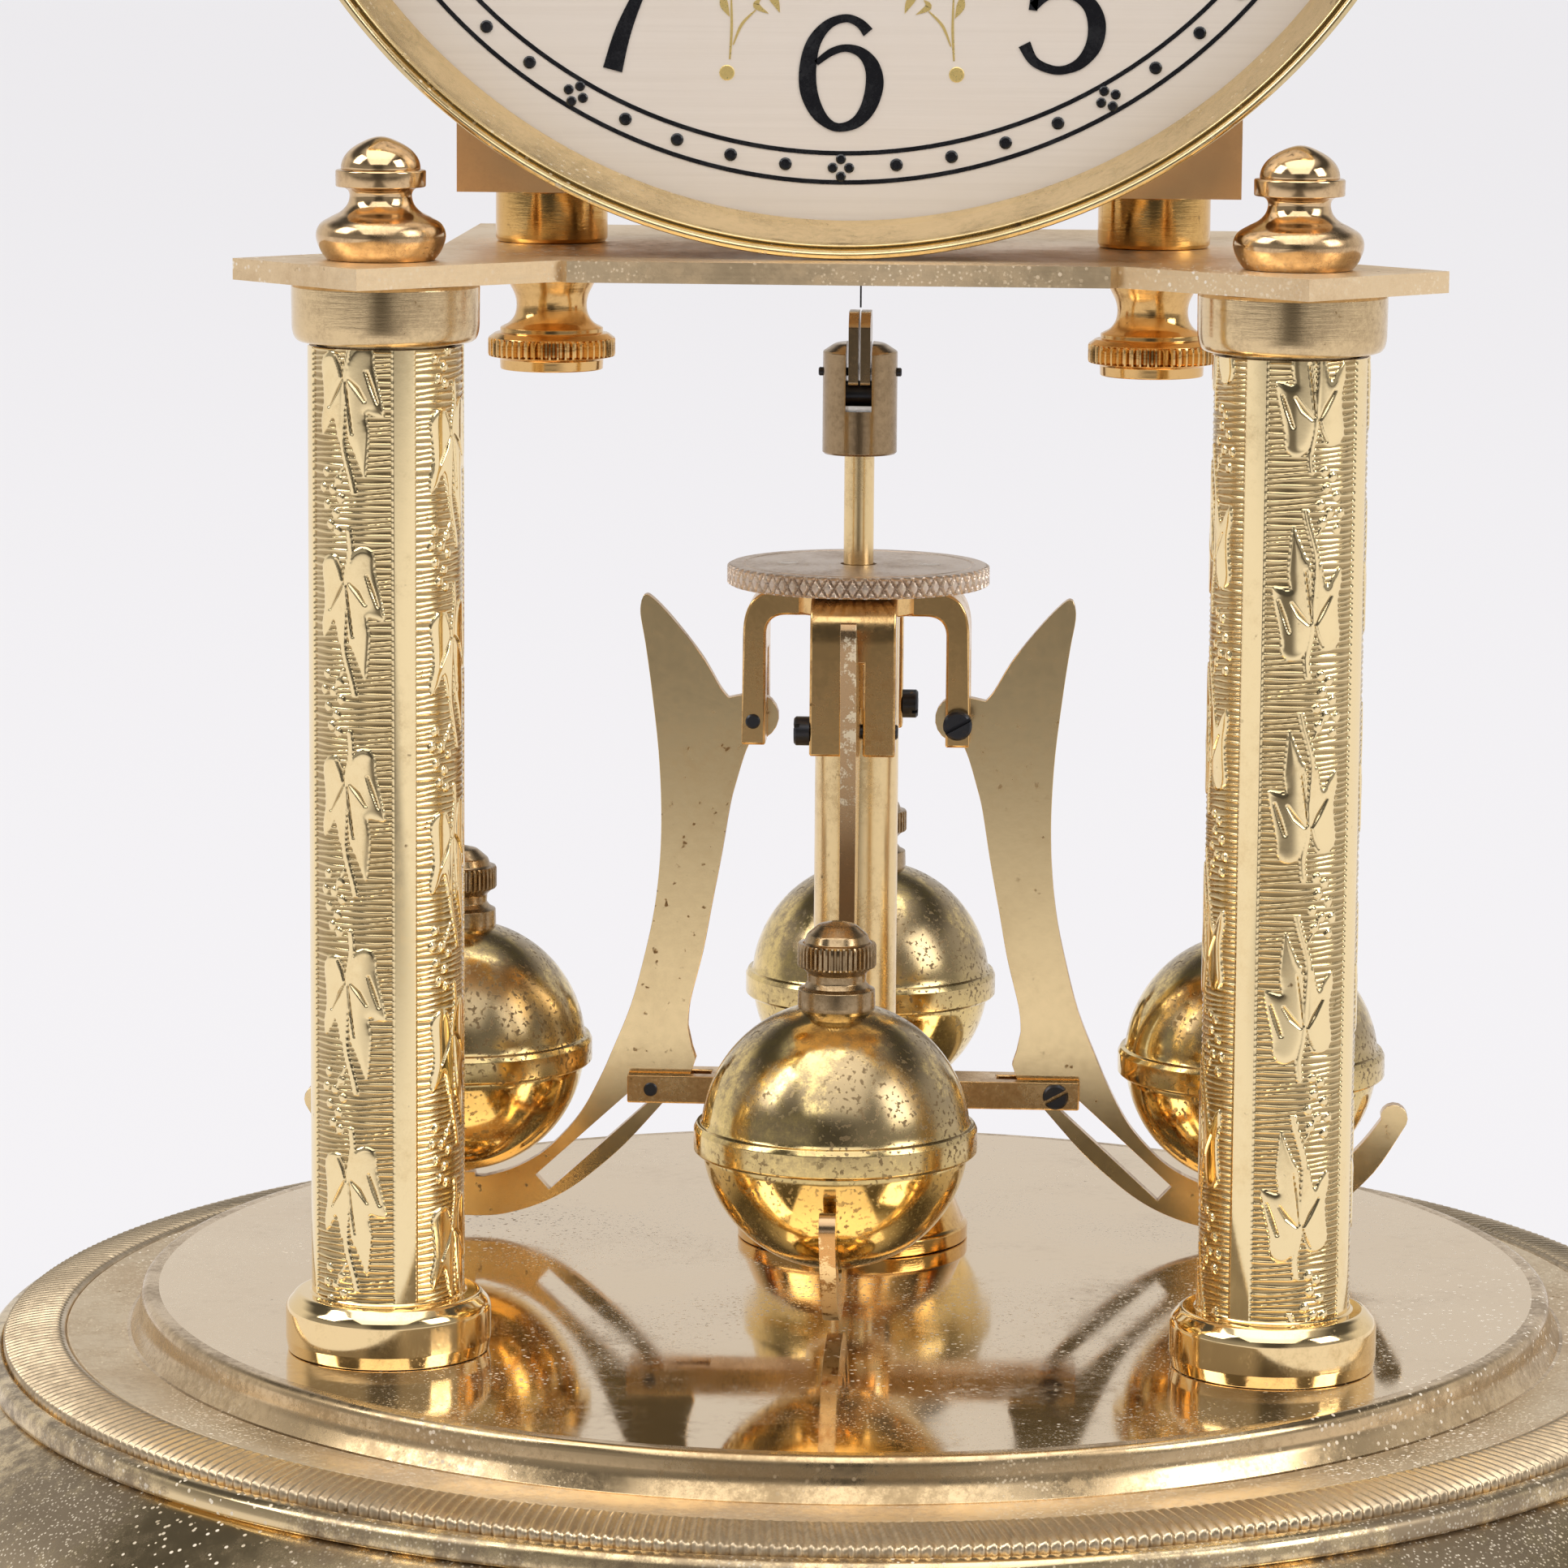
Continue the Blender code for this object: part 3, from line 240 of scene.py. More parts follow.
MATS = {
    "dial": make_dial_material(), "felt": make_felt(), "floor": make_floor(),
    "deck": metal("deck_brass", (0.76, 0.58, 0.36), (0.60, 0.44, 0.26), (0.52, 0.80), 60,
        (0.03, 0.08), 0.003, dust=(0.38, 0.66)),
    "cove": metal("cove_brass", (0.66, 0.48, 0.27), (0.40, 0.28, 0.15), (0.44, 0.66), 90,
        (0.15, 0.25), 0.006, dust=(0.44, 0.70)),
    "skirt": metal("skirt_brass", (0.78, 0.60, 0.34), (0.30, 0.22, 0.13), (0.46, 0.60), 40,
        (0.14, 0.24), 0.012, dust=(0.40, 0.66)),
    "ledge": metal("ledge_brass", (0.80, 0.64, 0.42), (0.60, 0.46, 0.30), (0.44, 0.66), 90,
        (0.34, 0.46), 0.008, dust=(0.30, 0.58)),
    "milled": metal("milled_brass", (0.66, 0.52, 0.34), (0.42, 0.33, 0.22), (0.42, 0.66), 80,
        (0.26, 0.38), 0.01),
    "tube": metal("embossed_brass", (0.95, 0.76, 0.43), (0.88, 0.66, 0.34), (0.5, 0.8), 70,
        (0.05, 0.11), 0.006, recess=(6.88, 0.16)),
    "polished": metal("polished_brass_fine", (0.93, 0.70, 0.37), (0.66, 0.45, 0.20), (0.52, 0.82),
        90, (0.05, 0.12), 0.006),
    "rod": metal("rod_brass", (0.84, 0.63, 0.33), (0.60, 0.42, 0.20), (0.50, 0.80), 110,
        (0.19, 0.27), 0.01, lines=(1, 1, 0.1)),
    "hook": metal("hook_brass", (0.36, 0.25, 0.14), (0.25, 0.17, 0.09), (0.44, 0.72), 120,
        (0.12, 0.20), 0.012, lines=(8, 8, 0.6)),
    "cap": metal("cap_brass", (0.76, 0.57, 0.32), (0.50, 0.36, 0.20), (0.46, 0.74), 110,
        (0.09, 0.18), 0.01, lines=(1, 1, 14)),
    "bezel": metal("bezel_brass", (0.70, 0.55, 0.30), (0.48, 0.37, 0.19), (0.46, 0.76), 90,
        (0.12, 0.22), 0.008, dust=(0.55, 0.8)),
    "platform": metal("platform_brass", (0.88, 0.67, 0.41), (0.68, 0.50, 0.30), (0.46, 0.74), 60,
        (0.30, 0.42), 0.012, lines=(0.06, 1, 8), dust=(0.40, 0.66)),
    "finial": metal("finial_brass", (0.70, 0.49, 0.27), (0.46, 0.30, 0.16), (0.46, 0.72), 120,
        (0.10, 0.18), 0.008),
    "orange": metal("amber_brass", (0.74, 0.46, 0.18), (0.52, 0.30, 0.10), (0.48, 0.76), 110,
        (0.07, 0.15), 0.006, lines=(1, 1, 10)),
    "amber": metal("amber_polished", (0.72, 0.44, 0.15), (0.50, 0.27, 0.08), (0.50, 0.78), 110,
        (0.04, 0.09), 0.004, lines=(1, 1, 10)),
    "plate": metal("plate_brass", (0.98, 0.66, 0.36), (0.78, 0.48, 0.25), (0.46, 0.76), 60,
        (0.30, 0.40), 0.008),
    "wheel": metal("wheel_brass", (0.88, 0.68, 0.35), (0.55, 0.40, 0.18), (0.45, 0.75), 100,
        (0.12, 0.24), 0.01),
    "lever": metal("lever_brass", (0.95, 0.73, 0.40), (0.52, 0.34, 0.15), (0.46, 0.78), 75,
        (0.12, 0.20), 0.008, spots=(0.66, 0.74), spot=(0.30, 0.18, 0.08), spot_scale=1100,
        upper=(-0.020, 0.008)),
    "lever_edge": metal("lever_edge_brass", (0.66, 0.44, 0.22), (0.38, 0.23, 0.11), (0.42, 0.66),
        160, (0.18, 0.28), 0.012),
    "lever_worn": metal("lever_worn_edge", (0.46, 0.30, 0.16), (0.88, 0.76, 0.55), (0.55, 0.59),
        75, (0.22, 0.34), 0.015),
    "bracket": metal("bracket_brass", (0.78, 0.51, 0.22), (0.46, 0.27, 0.11), (0.44, 0.70), 140,
        (0.12, 0.22), 0.012),
    "cross": metal("cross_brass", (0.70, 0.46, 0.21), (0.44, 0.26, 0.11), (0.42, 0.68), 140,
        (0.18, 0.28), 0.012, lines=(1, 6, 1)),
    "ball": metal("ball_brass", (0.86, 0.64, 0.26), (0.36, 0.27, 0.15), (0.42, 0.58), 60,
        (0.05, 0.12), 0.006, spots=(0.56, 0.63), spot=(0.24, 0.17, 0.09), spot_scale=2200,
        upper=(-0.006, 0.006)),
    "aged": metal("aged_brass", (0.42, 0.30, 0.17), (0.28, 0.19, 0.10), (0.42, 0.68), 150,
        (0.14, 0.24), 0.012),
    "disc": metal("disc_brass", (0.66, 0.53, 0.43), (0.46, 0.34, 0.25), (0.46, 0.74), 140,
        (0.26, 0.38), 0.015, lines=(3, 3, 1), dust=(0.2, 0.5)),
    "steel": metal("bright_steel", (0.56, 0.55, 0.54), (0.36, 0.34, 0.31), (0.45, 0.75), 120,
        (0.20, 0.34), 0.01),
    "black": metal("blackened_steel", (0.035, 0.036, 0.042), (0.10, 0.07, 0.05), (0.55, 0.8), 300,
        (0.26, 0.42), 0.02, metallic=0.6),
    "ink": metal("dial_ink", (0.006, 0.006, 0.008), (0.02, 0.02, 0.022), (0.5, 0.8), 400,
        (0.20, 0.34), 0.02, metallic=0.0, spots=(0.9, 0.95)),
    "gilt": metal("dial_gilt", (0.90, 0.68, 0.26), (0.70, 0.50, 0.18), (0.45, 0.75), 300,
        (0.22, 0.36), 0.02, metallic=0.6),
}


# ---------------------------------------------------------------- mesh helpers

def mesh_from(name, verts, faces):
    mesh = bpy.data.meshes.new(name)
    mesh.from_pydata(np.asarray(verts, dtype=float).tolist(), [], faces)
    bm = bmesh.new()
    bm.from_mesh(mesh)
    bmesh.ops.recalc_face_normals(bm, faces=bm.faces)
    bm.to_mesh(mesh)
    bm.free()
    return mesh


def piece(name, verts, faces, mat, body="frame", nodes=(), at=(0, 0, 0), smooth=32.0,
          slots=None):
    """A shown piece from millimetre points, on its body, standing for the given CAD nodes."""
    mesh = mesh_from(name, np.asarray(verts, dtype=float) * MM, faces)
    if smooth:
        mesh.shade_smooth()
        mesh.set_sharp_from_angle(angle=math.radians(smooth))
    for key in [mat] if isinstance(mat, str) else mat:
        mesh.materials.append(MATS[key])
    if slots:
        mesh.polygons.foreach_set("material_index", slots)
    obj = bpy.data.objects.new(name, mesh)
    bpy.context.scene.collection.objects.link(obj)
    obj.location = Vector(at) * MM
    if body:
        bpy.context.view_layer.update()
        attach(obj, body)
        if nodes:
            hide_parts(*nodes)
    return obj


def rounded(points, steps=5):
    """Polyline with its corners rounded: a corner is (a, b) or (a, b, radius)."""
    out = []
    for k, p in enumerate(points):
        if len(p) < 3 or k in (0, len(points) - 1):
            out.append(tuple(p[:2]))
            continue
        a, b, c = Vector(points[k - 1][:2]), Vector(p[:2]), Vector(points[k + 1][:2])
        u, w = (a - b), (c - b)
        cut = p[2] / max(math.tan(u.angle(w) / 2), 0.05)
        first = b + u.normalized() * min(cut, u.length * 0.49)
        last = b + w.normalized() * min(cut, w.length * 0.49)
        for j in range(steps + 1):
            t = j / steps
            out.append(tuple(first * (1 - t) ** 2 + b * 2 * t * (1 - t) + last * t * t))
    return out


def curve(points, steps=6, closed=False):
    """Catmull-Rom curve through points of any dimension."""
    pts = [np.asarray(p, dtype=float) for p in points]
    ends = [pts[-1]] + pts + pts[:2] if closed else [pts[0]] + pts + [pts[-1]]
    out = []
    for a, b, c, d in zip(ends, ends[1:], ends[2:], ends[3:]):
        for k in range(steps):
            t = k / steps
            out.append(0.5 * (2 * b + (c - a) * t + (2 * a - 5 * b + 4 * c - d) * t * t
                + (3 * b - a - 3 * c + d) * t ** 3))
    if not closed:
        out.append(pts[-1])
    return [tuple(float(v) for v in p) for p in out]


def arc(x, y, radius, start_deg, end_deg, count=8):
    turns = [math.radians(start_deg + (end_deg - start_deg) * k / count)
        for k in range(count + 1)]
    return [(x + radius * math.cos(t), y + radius * math.sin(t)) for t in turns]


def circle(x, y, radius, count=32):
    return arc(x, y, radius, 0, 360 * (count - 1) / count, count - 1)


def turn_grid(profile, segments, closed=False, warp=None):
    """Vertices and faces of a profile turned about Z. warp bends (radius, height, turn)."""
    turns = np.linspace(0.0, math.tau, segments, endpoint=False)
    verts, rows, faces = [], [], []
    for radius, height in profile:
        if radius <= 1e-9:
            rows.append([len(verts)] * segments)
            verts.append((0.0, 0.0, height))
            continue
        r, z = np.full(segments, radius), np.full(segments, height)
        if warp:
            r, z = warp(r, z, turns)
        rows.append(list(range(len(verts), len(verts) + segments)))
        verts.extend(zip(r * np.cos(turns), r * np.sin(turns), z))
    pairs = list(zip(rows, rows[1:]))
    if closed:
        pairs.append((rows[-1], rows[0]))
    for low, high in pairs:
        for k in range(segments):
            n = (k + 1) % segments
            face = list(dict.fromkeys((low[k], low[n], high[n], high[k])))
            if len(face) > 2:
                faces.append(face)
    return verts, faces


def laid(part):
    """A part turned about Z, laid along Y."""
    return [(x, z, -y) for x, y, z in part[0]], part[1]


def lathe(name, profile, mat, at=(0, 0, 0), body="frame", nodes=(), segments=96,
          closed=False, warp=None, along="Z", smooth=32.0):
    part = turn_grid(profile, segments, closed, warp)
    if along == "Y":
        part = laid(part)
    return piece(name, *part, mat, body, nodes, at, smooth)


def crossings(x, y, loop):
    count = 0
    for (ax, ay), (bx, by) in zip(loop, loop[1:] + loop[:1]):
        if (ay > y) != (by > y) and x < ax + (bx - ax) * (y - ay) / (by - ay):
            count += 1
    return count


def slab(outline, holes, low, high, upright=True):
    """Vertices and faces of a flat sheet with holes: triangles, and quads round the edges.

    It stands in X and Z between two depths, or lies in X and Y between two heights.
    """
    loops = [list(map(tuple, outline))] + [list(map(tuple, hole)) for hole in holes]
    points, edges = [], []
    for loop in loops:
        first = len(points)
        points += [Vector(p) for p in loop]
        edges += [(first + k, first + (k + 1) % len(loop)) for k in range(len(loop))]
    flat, _, raw, *_ = delaunay_2d_cdt(points, edges, [], 0, 1e-5)
    tris = []
    for tri in raw:
        mid = sum((flat[i] for i in tri), Vector((0.0, 0.0))) / 3
        if sum(crossings(mid.x, mid.y, loop) for loop in loops) % 2:
            tris.append(tuple(tri))
    count, used = len(flat), {}
    for tri in tris:
        for a, b in zip(tri, tri[1:] + tri[:1]):
            used.setdefault((min(a, b), max(a, b)), []).append((a, b))
    faces = tris + [tuple(i + count for i in reversed(t)) for t in tris]
    for sides in used.values():
        if len(sides) == 1:
            a, b = sides[0]
            faces.append((b, a, a + count, b + count))
    if upright:
        verts = [(p.x, low, p.y) for p in flat] + [(p.x, high, p.y) for p in flat]
    else:
        verts = [(p.x, p.y, low) for p in flat] + [(p.x, p.y, high) for p in flat]
    return verts, faces


def bevel(obj, width, segments=2, angle=40.0):
    edge = obj.modifiers.new("edge", "BEVEL")
    edge.width = width * MM
    edge.segments = segments
    edge.limit_method = "ANGLE"
    edge.angle_limit = math.radians(angle)
    obj.modifiers.new("normals", "WEIGHTED_NORMAL").keep_sharp = True
    return obj


def merged(parts):
    """One vertex and face list from several."""
    verts, faces = [], []
    for some, more in parts:
        first = len(verts)
        verts += [tuple(v) for v in some]
        faces += [[i + first for i in face] for face in more]
    return verts, faces


def moved(part, matrix):
    return [tuple(matrix @ Vector(v)) for v in part[0]], part[1]


def quarters(part):
    """Four copies of a part round Z."""
    return merged([moved(part, Matrix.Rotation(k * math.pi / 2, 4, "Z")) for k in range(4)])


def cut(part, cutter):
    """A part less its cutter, in millimetres."""
    pair = [bpy.data.objects.new("cut", mesh_from("cut", *p)) for p in (part, cutter)]
    for obj in pair:
        bpy.context.scene.collection.objects.link(obj)
    step = pair[0].modifiers.new("cut", "BOOLEAN")
    step.operation, step.solver, step.object = "DIFFERENCE", "EXACT", pair[1]
    bpy.context.view_layer.update()
    result = bpy.data.meshes.new_from_object(
        pair[0].evaluated_get(bpy.context.evaluated_depsgraph_get()))
    for obj in pair:
        bpy.data.objects.remove(obj, do_unlink=True)
    return [tuple(v.co) for v in result.vertices], [tuple(p.vertices) for p in result.polygons]


def box_part(low, high):
    corners = [(low[0], low[1]), (high[0], low[1]), (high[0], high[1]), (low[0], high[1])]
    return slab(corners, [], low[2], high[2], upright=False)


def rod_part(start_at, end_at, radius, segments=24, edge=0.0):
    start_at, end_at = Vector(start_at), Vector(end_at)
    length = (end_at - start_at).length
    profile = [(0, 0), (radius - edge, 0), (radius, edge), (radius, length - edge),
        (radius - edge, length), (0, length)]
    if not edge:
        profile = [profile[0], (radius, 0), (radius, length), profile[-1]]
    turn = (end_at - start_at).to_track_quat("Z", "Y").to_matrix().to_4x4()
    return moved(turn_grid(profile, segments), Matrix.Translation(start_at) @ turn)


# ---------------------------------------------------------------- base

def make_base():
    top = [(0, 0), (65.3, 0)]
    cove = rounded([(65.3, 0), (66.9, 0, 1.0), (67.15, -2.2, 2.6), (68.0, -3.8, 0.1),
        (68.3, -3.85)], 8)
    ledge = rounded([(68.3, -3.85), (71.0, -3.8), (73.9, -3.68, 0.2), (74.2, -4.3)], 4)
    flare = curve([(81.1, -7.2), (84.9, -9.2), (90.5, -13.2), (94.2, -19.0), (95.5, -25.6)], 8)
    rim = rounded([(79.4, -5.1), (79.9, -5.4), (80.2, -4.95, 0.3), (81.5, -5.2, 1.0),
        (81.9, -7.1, 0.8), (81.1, -7.2)], 8)
    inner = [(94.4, -27.7), (94.4, -26.0), (93.1, -19.6), (89.5, -14.8), (84.0, -11.4),
        (79.6, -9.4), (78.6, -6.0), (67.0, -4.9), (65.6, -1.1), (0, -1.1)]
    skirt = rim + flare[1:] + [(95.5, -27.7)] + inner
    for name, profile in (("deck", top), ("cove", cove), ("ledge", ledge), ("skirt", skirt)):
        lathe("base_" + name, profile, name, (0, 0, DECK), nodes=["base_shell"], segments=288)

    ribs = 460

    def mill(r, z, turn):
        wave = 0.17 * np.tanh(1.3 * np.sin(ribs * turn - (r - 74.0) * 0.7))
        top = np.clip((r - 74.4) / 0.5, 0, 1) * np.clip((z + 5.0) / 0.6, 0, 1)
        return r + wave * np.clip((r - 79.0) / 0.6, 0, 1), z + wave * top

    crown = [(74.0, -4.5)] + curve([(74.1, -3.8), (74.4, -3.55), (75.4, -3.5), (77.0, -3.65),
        (78.6, -3.9), (79.6, -4.2)], 5)
    crown += [(79.75, -4.35), (79.8, -4.7), (79.8, -5.2), (79.8, -6.0)]
    lathe("milled_band", crown, "milled", (0, 0, DECK), nodes=["base_shell"],
        segments=ribs * 6, warp=mill, smooth=60)

    felt = rounded([(70.0, 0.15), (70.0, 2.0, 0.3), (94.6, 2.0, 0.3), (94.6, 0.0, 0.4),
        (70.0, 0.0, 0.3), (70.0, 0.15)], 3)
    lathe("felt_pad", felt[:-1], "felt", nodes=["felt_ring"], segments=96, closed=True)
    dress_node("base_plate", "steel", 0.2)

    cup = rounded([(3.4, 3.0), (3.4, 7.0, 0.4), (4.4, 7.4, 0.8), (7.0, 6.8, 2), (9.6, 4.8, 2),
        (10.9, 1.7, 0.6), (11.3, 1.5, 0.3), (11.3, SEAT, 0.2), (2.6, SEAT), (2.6, -2.6),
        (0, -2.6), (0, 3.0)], 6)
    lathe("guide_cup_turned", cup, "amber", (0, AXIS_Y, DECK), nodes=["guide_cup"],
        closed=True)


def dress_node(name, mat, edge=None):
    """Gives a CAD node that stays in view its material and rounded edges."""
    obj = NODES[name]
    obj.data.materials.clear()
    obj.data.materials.append(MATS[mat])
    if edge:
        bevel(obj, edge)
    return obj


# ---------------------------------------------------------------- columns

def shape_gap(u, v, loop):
    """Signed distance to a closed outline, negative inside."""
    best = np.full(u.shape, 1e9)
    inside = np.zeros(u.shape, dtype=int)
    for (ax, ay), (bx, by) in zip(loop, loop[1:] + loop[:1]):
        dx, dy = bx - ax, by - ay
        t = np.clip(((u - ax) * dx + (v - ay) * dy) / max(dx * dx + dy * dy, 1e-12), 0, 1)
        best = np.minimum(best, np.hypot(u - ax - t * dx, v - ay - t * dy))
        if ay != by:
            hit = ((ay > v) != (by > v)) & (u < ax + dx * (v - ay) / dy)
            inside += hit
    return np.where(inside % 2 == 1, -best, best)


def line_gap(u, v, line):
    """Distance to a line less its half width, from (u, v, width) points."""
    best = np.full(u.shape, 1e9)
    for (ax, ay, aw), (bx, by, bw) in zip(line, line[1:]):
        dx, dy = bx - ax, by - ay
        t = np.clip(((u - ax) * dx + (v - ay) * dy) / max(dx * dx + dy * dy, 1e-12), 0, 1)
        gap = np.hypot(u - ax - t * dx, v - ay - t * dy) - (aw + t * (bw - aw)) / 2
        best = np.minimum(best, gap)
    return best


PERIOD = 17.95                  # one leaf and one cluster of berries
PANEL = 4.47                    # half width of an embossed panel, along the tube's skin


def vine_relief(u, v, level):
    """Depth below the polished skin of one panel: leaves, stem and berries over a hatch."""
    w = (v + 8.0) % PERIOD - 8.0
    leaf_r = curve([(0.1, 0.4), (0.2, -1.4), (0.7, -2.8), (1.5, -3.4), (2.3, -3.3), (2.8, -2.6),
        (2.85, -1.5), (3.1, -0.2), (3.45, 1.3), (3.7, 3.0), (2.9, 3.0), (2.15, 2.9),
        (2.35, 4.4), (2.25, 6.3), (1.95, 8.5), (1.35, 7.3), (0.8, 6.0), (0.2, 4.6)],
        3, closed=True)
    leaf_l = curve([(-0.2, 0.6), (-0.3, -1.2), (-0.8, -2.4), (-1.6, -2.6), (-2.4, -2.3),
        (-2.9, -1.4), (-2.65, 0.4), (-2.6, 2.1), (-2.95, 3.5), (-2.75, 4.8),
        (-1.9, 4.0), (-1.4, 3.2), (-1.0, 4.1), (-0.75, 5.2), (-0.2, 4.6)],
        3, closed=True)
    stem = [(0.35, -4.8), (0.52, -3.2), (0.2, -1.6), (0.0, 0.0), (-0.2, 2.6), (-0.3, 5.2),
        (0.07, 6.9), (0.6, 8.6), (1.0, 10.4), (1.08, 11.4), (0.93, 13.0), (0.52, 14.6),
        (0.2, 16.2), (0.0, 17.8)]
    stem = [(x, y, 0.62) for x, y in curve(stem, 2)]
    shapes = [shape_gap(u, w, leaf_r), shape_gap(u, w, leaf_l)]
    for shift in (-PERIOD, 0.0):
        shapes.append(line_gap(u, w + shift, stem))
        shapes.append(line_gap(u, w + shift, [(-0.3, 7.6, 0.3), (-1.2, 9.3, 0.3),
            (-1.6, 12.2, 0.3)]))
    raised = np.minimum.reduce(shapes)
    ground = -0.20 + 0.09 * np.cos(math.tau * (v + level) / 0.54)
    pillow = -0.10 * np.exp(np.minimum(raised, 0.0) / 0.22)
    height = ground + (pillow - ground) * np.clip(0.5 - raised / 0.12, 0, 1)
    for x, y in ((-2.3, 8.1), (-0.75, 8.7), (-0.55, 10.3), (-2.2, 11.0), (-1.1, 11.7),
            (-1.75, 12.7), (-1.5, 9.6), (-2.7, 9.5), (-0.9, 13.2)):
        for shift in (0.0, PERIOD):
            away = np.hypot(u - x, w + shift - y)
            height = np.maximum(height, -0.20 + 0.22 * np.sqrt(np.clip(1 - (away / 0.46) ** 2,
                0, 1)))
    for vein in ([(0.1, 0.0, 0.12), (0.35, 2.3, 0.26), (0.75, 4.6, 0.10)],
            [(0.35, -0.2, 0.14), (1.2, 0.6, 0.34), (1.95, 1.7, 0.12)],
            [(-0.3, -0.2, 0.12), (-0.9, 0.9, 0.28), (-1.75, 2.3, 0.12)],
            [(2.1, -0.9, 0.14), (2.6, 0.5, 0.26), (3.1, 1.9, 0.12)],
            [(-0.2, -0.1, 0.12), (-0.5, -1.3, 0.22), (-1.0, -2.2, 0.12)]):
        groove = np.clip(0.5 - line_gap(u, w, vein) / 0.14, 0, 1)
        height = np.minimum(height, -0.20 * groove)
    border = np.clip((PANEL - np.abs(u)) / 0.14, 0, 1)
    return height * border


def make_column(side, sx, spin, shift, flip):
    """Tube with four embossed panels between polished strips."""
    low = DECK + 5.6
    length = PLATFORM - 5.3 - GAP - low
    around, along = 440, 1000
    turns = np.linspace(0, math.tau, around, endpoint=False)[:, None]
    levels = np.linspace(0, length, along)[None, :]
    quarter = math.tau * SKIN / 4
    panel = np.floor(turns * SKIN / quarter)
    u = turns * SKIN - (panel + 0.5) * quarter + 0 * levels
    v = length - levels + 0 * turns
    wander = 0.12 * np.sin(v * 0.9 + panel * 2.0) + 0.09 * np.sin(v * 2.3 + u * 0.8)
    radius = SKIN + vine_relief(u, v + shift + 1.7 * panel, wander + 0.05 * u)
    if flip:
        radius = radius[::-1, ::-1]
    # The first and last rows run inside, so the grid closes into a tube with a bore
    radius = np.pad(radius, ((0, 0), (1, 1)), constant_values=BORE)
    height = low + np.pad(levels, ((0, 0), (1, 1)), mode="edge")
    turn = turns + math.radians(spin)
    verts = np.stack([radius * np.cos(turn), radius * np.sin(turn), height + 0 * turn],
        axis=-1).reshape(-1, 3)
    index = np.arange(radius.size).reshape(radius.shape)
    beside, above = np.roll(index, -1, axis=0), np.roll(index, -1, axis=1)
    faces = np.stack([index, beside, np.roll(beside, -1, axis=1), above], axis=-1)
    piece("embossed_tube_" + side, verts, faces.reshape(-1, 4).tolist(), "tube",
        nodes=["column_" + side], at=(sx * COLUMN[0], COLUMN[1], 0), smooth=70)
    at = (sx * COLUMN[0], COLUMN[1])
    collar = rounded([(2.4, SEAT), (9.1, SEAT, 0.15), (9.3, 1.2, 0.6), (9.3, 4.3, 1.5),
        (8.3, 5.4, 0.9), (7.1, 5.4, 0.2), (6.95, 5.6, 0.1), (5.8, 5.55), (5.8, 8.6),
        (2.4, 8.6)], 10)
    lathe("turned_collar_" + side, collar, "polished", (*at, DECK), nodes=["collar_" + side],
        closed=True)
    cap = rounded([(2.4, 5.25), (8.2, 5.25, 0.2), (8.35, 4.9, 0.2), (8.3, 0.05, 1.7),
        (6.6, 0.0, 0.1), (5.8, 0.0), (5.8, -3.0), (2.4, -3.0)], 10)
    lathe("turned_cap_" + side, cap, "cap", (*at, PLATFORM - 5.3), nodes=["cap_" + side],
        closed=True)
    bulb = curve([(4.78, 0.0), (5.3, 0.7), (5.7, 1.7), (5.7, 2.5), (5.3, 3.2), (4.4, 3.75),
        (3.55, 4.2), (2.98, 4.8), (2.76, 5.5), (2.85, 6.0), (3.2, 6.3)], 5)
    flange = rounded([(3.2, 6.3), (3.98, 6.4, 0.15), (4.0, 7.85, 0.2), (3.5, 7.95)], 4)
    dome_top = [(3.52 * math.cos(t), 8.0 + 2.55 * math.sin(t) + 0.25 * math.sin(t) ** 12)
        for t in np.linspace(0, math.pi / 2, 16)]
    finial = ([(2.4, 0.0)] + bulb + flange[1:] + dome_top[:-1] + [(0, 10.8), (0, 5.6),
        (2.4, 5.6)])
    lathe("turned_finial_" + side, finial, "finial", (sx * FINIAL_X, COLUMN[1], TOP + 0.05),
        nodes=["finial_" + side], closed=True)
    dress_node("tie_bolt_" + side, "steel", 0.2)


# ---------------------------------------------------------------- platform and movement

def comb(teeth, depth, low, high):
    """Straight knurl: square grooves between two heights."""
    def warp(r, z, turn):
        inside = ((z > low) & (z < high)).astype(float)
        wave = np.clip(np.cos(teeth * turn) * 3.0, -1, 1) * 0.5 - 0.5
        return r + depth * wave * inside, z
    return warp


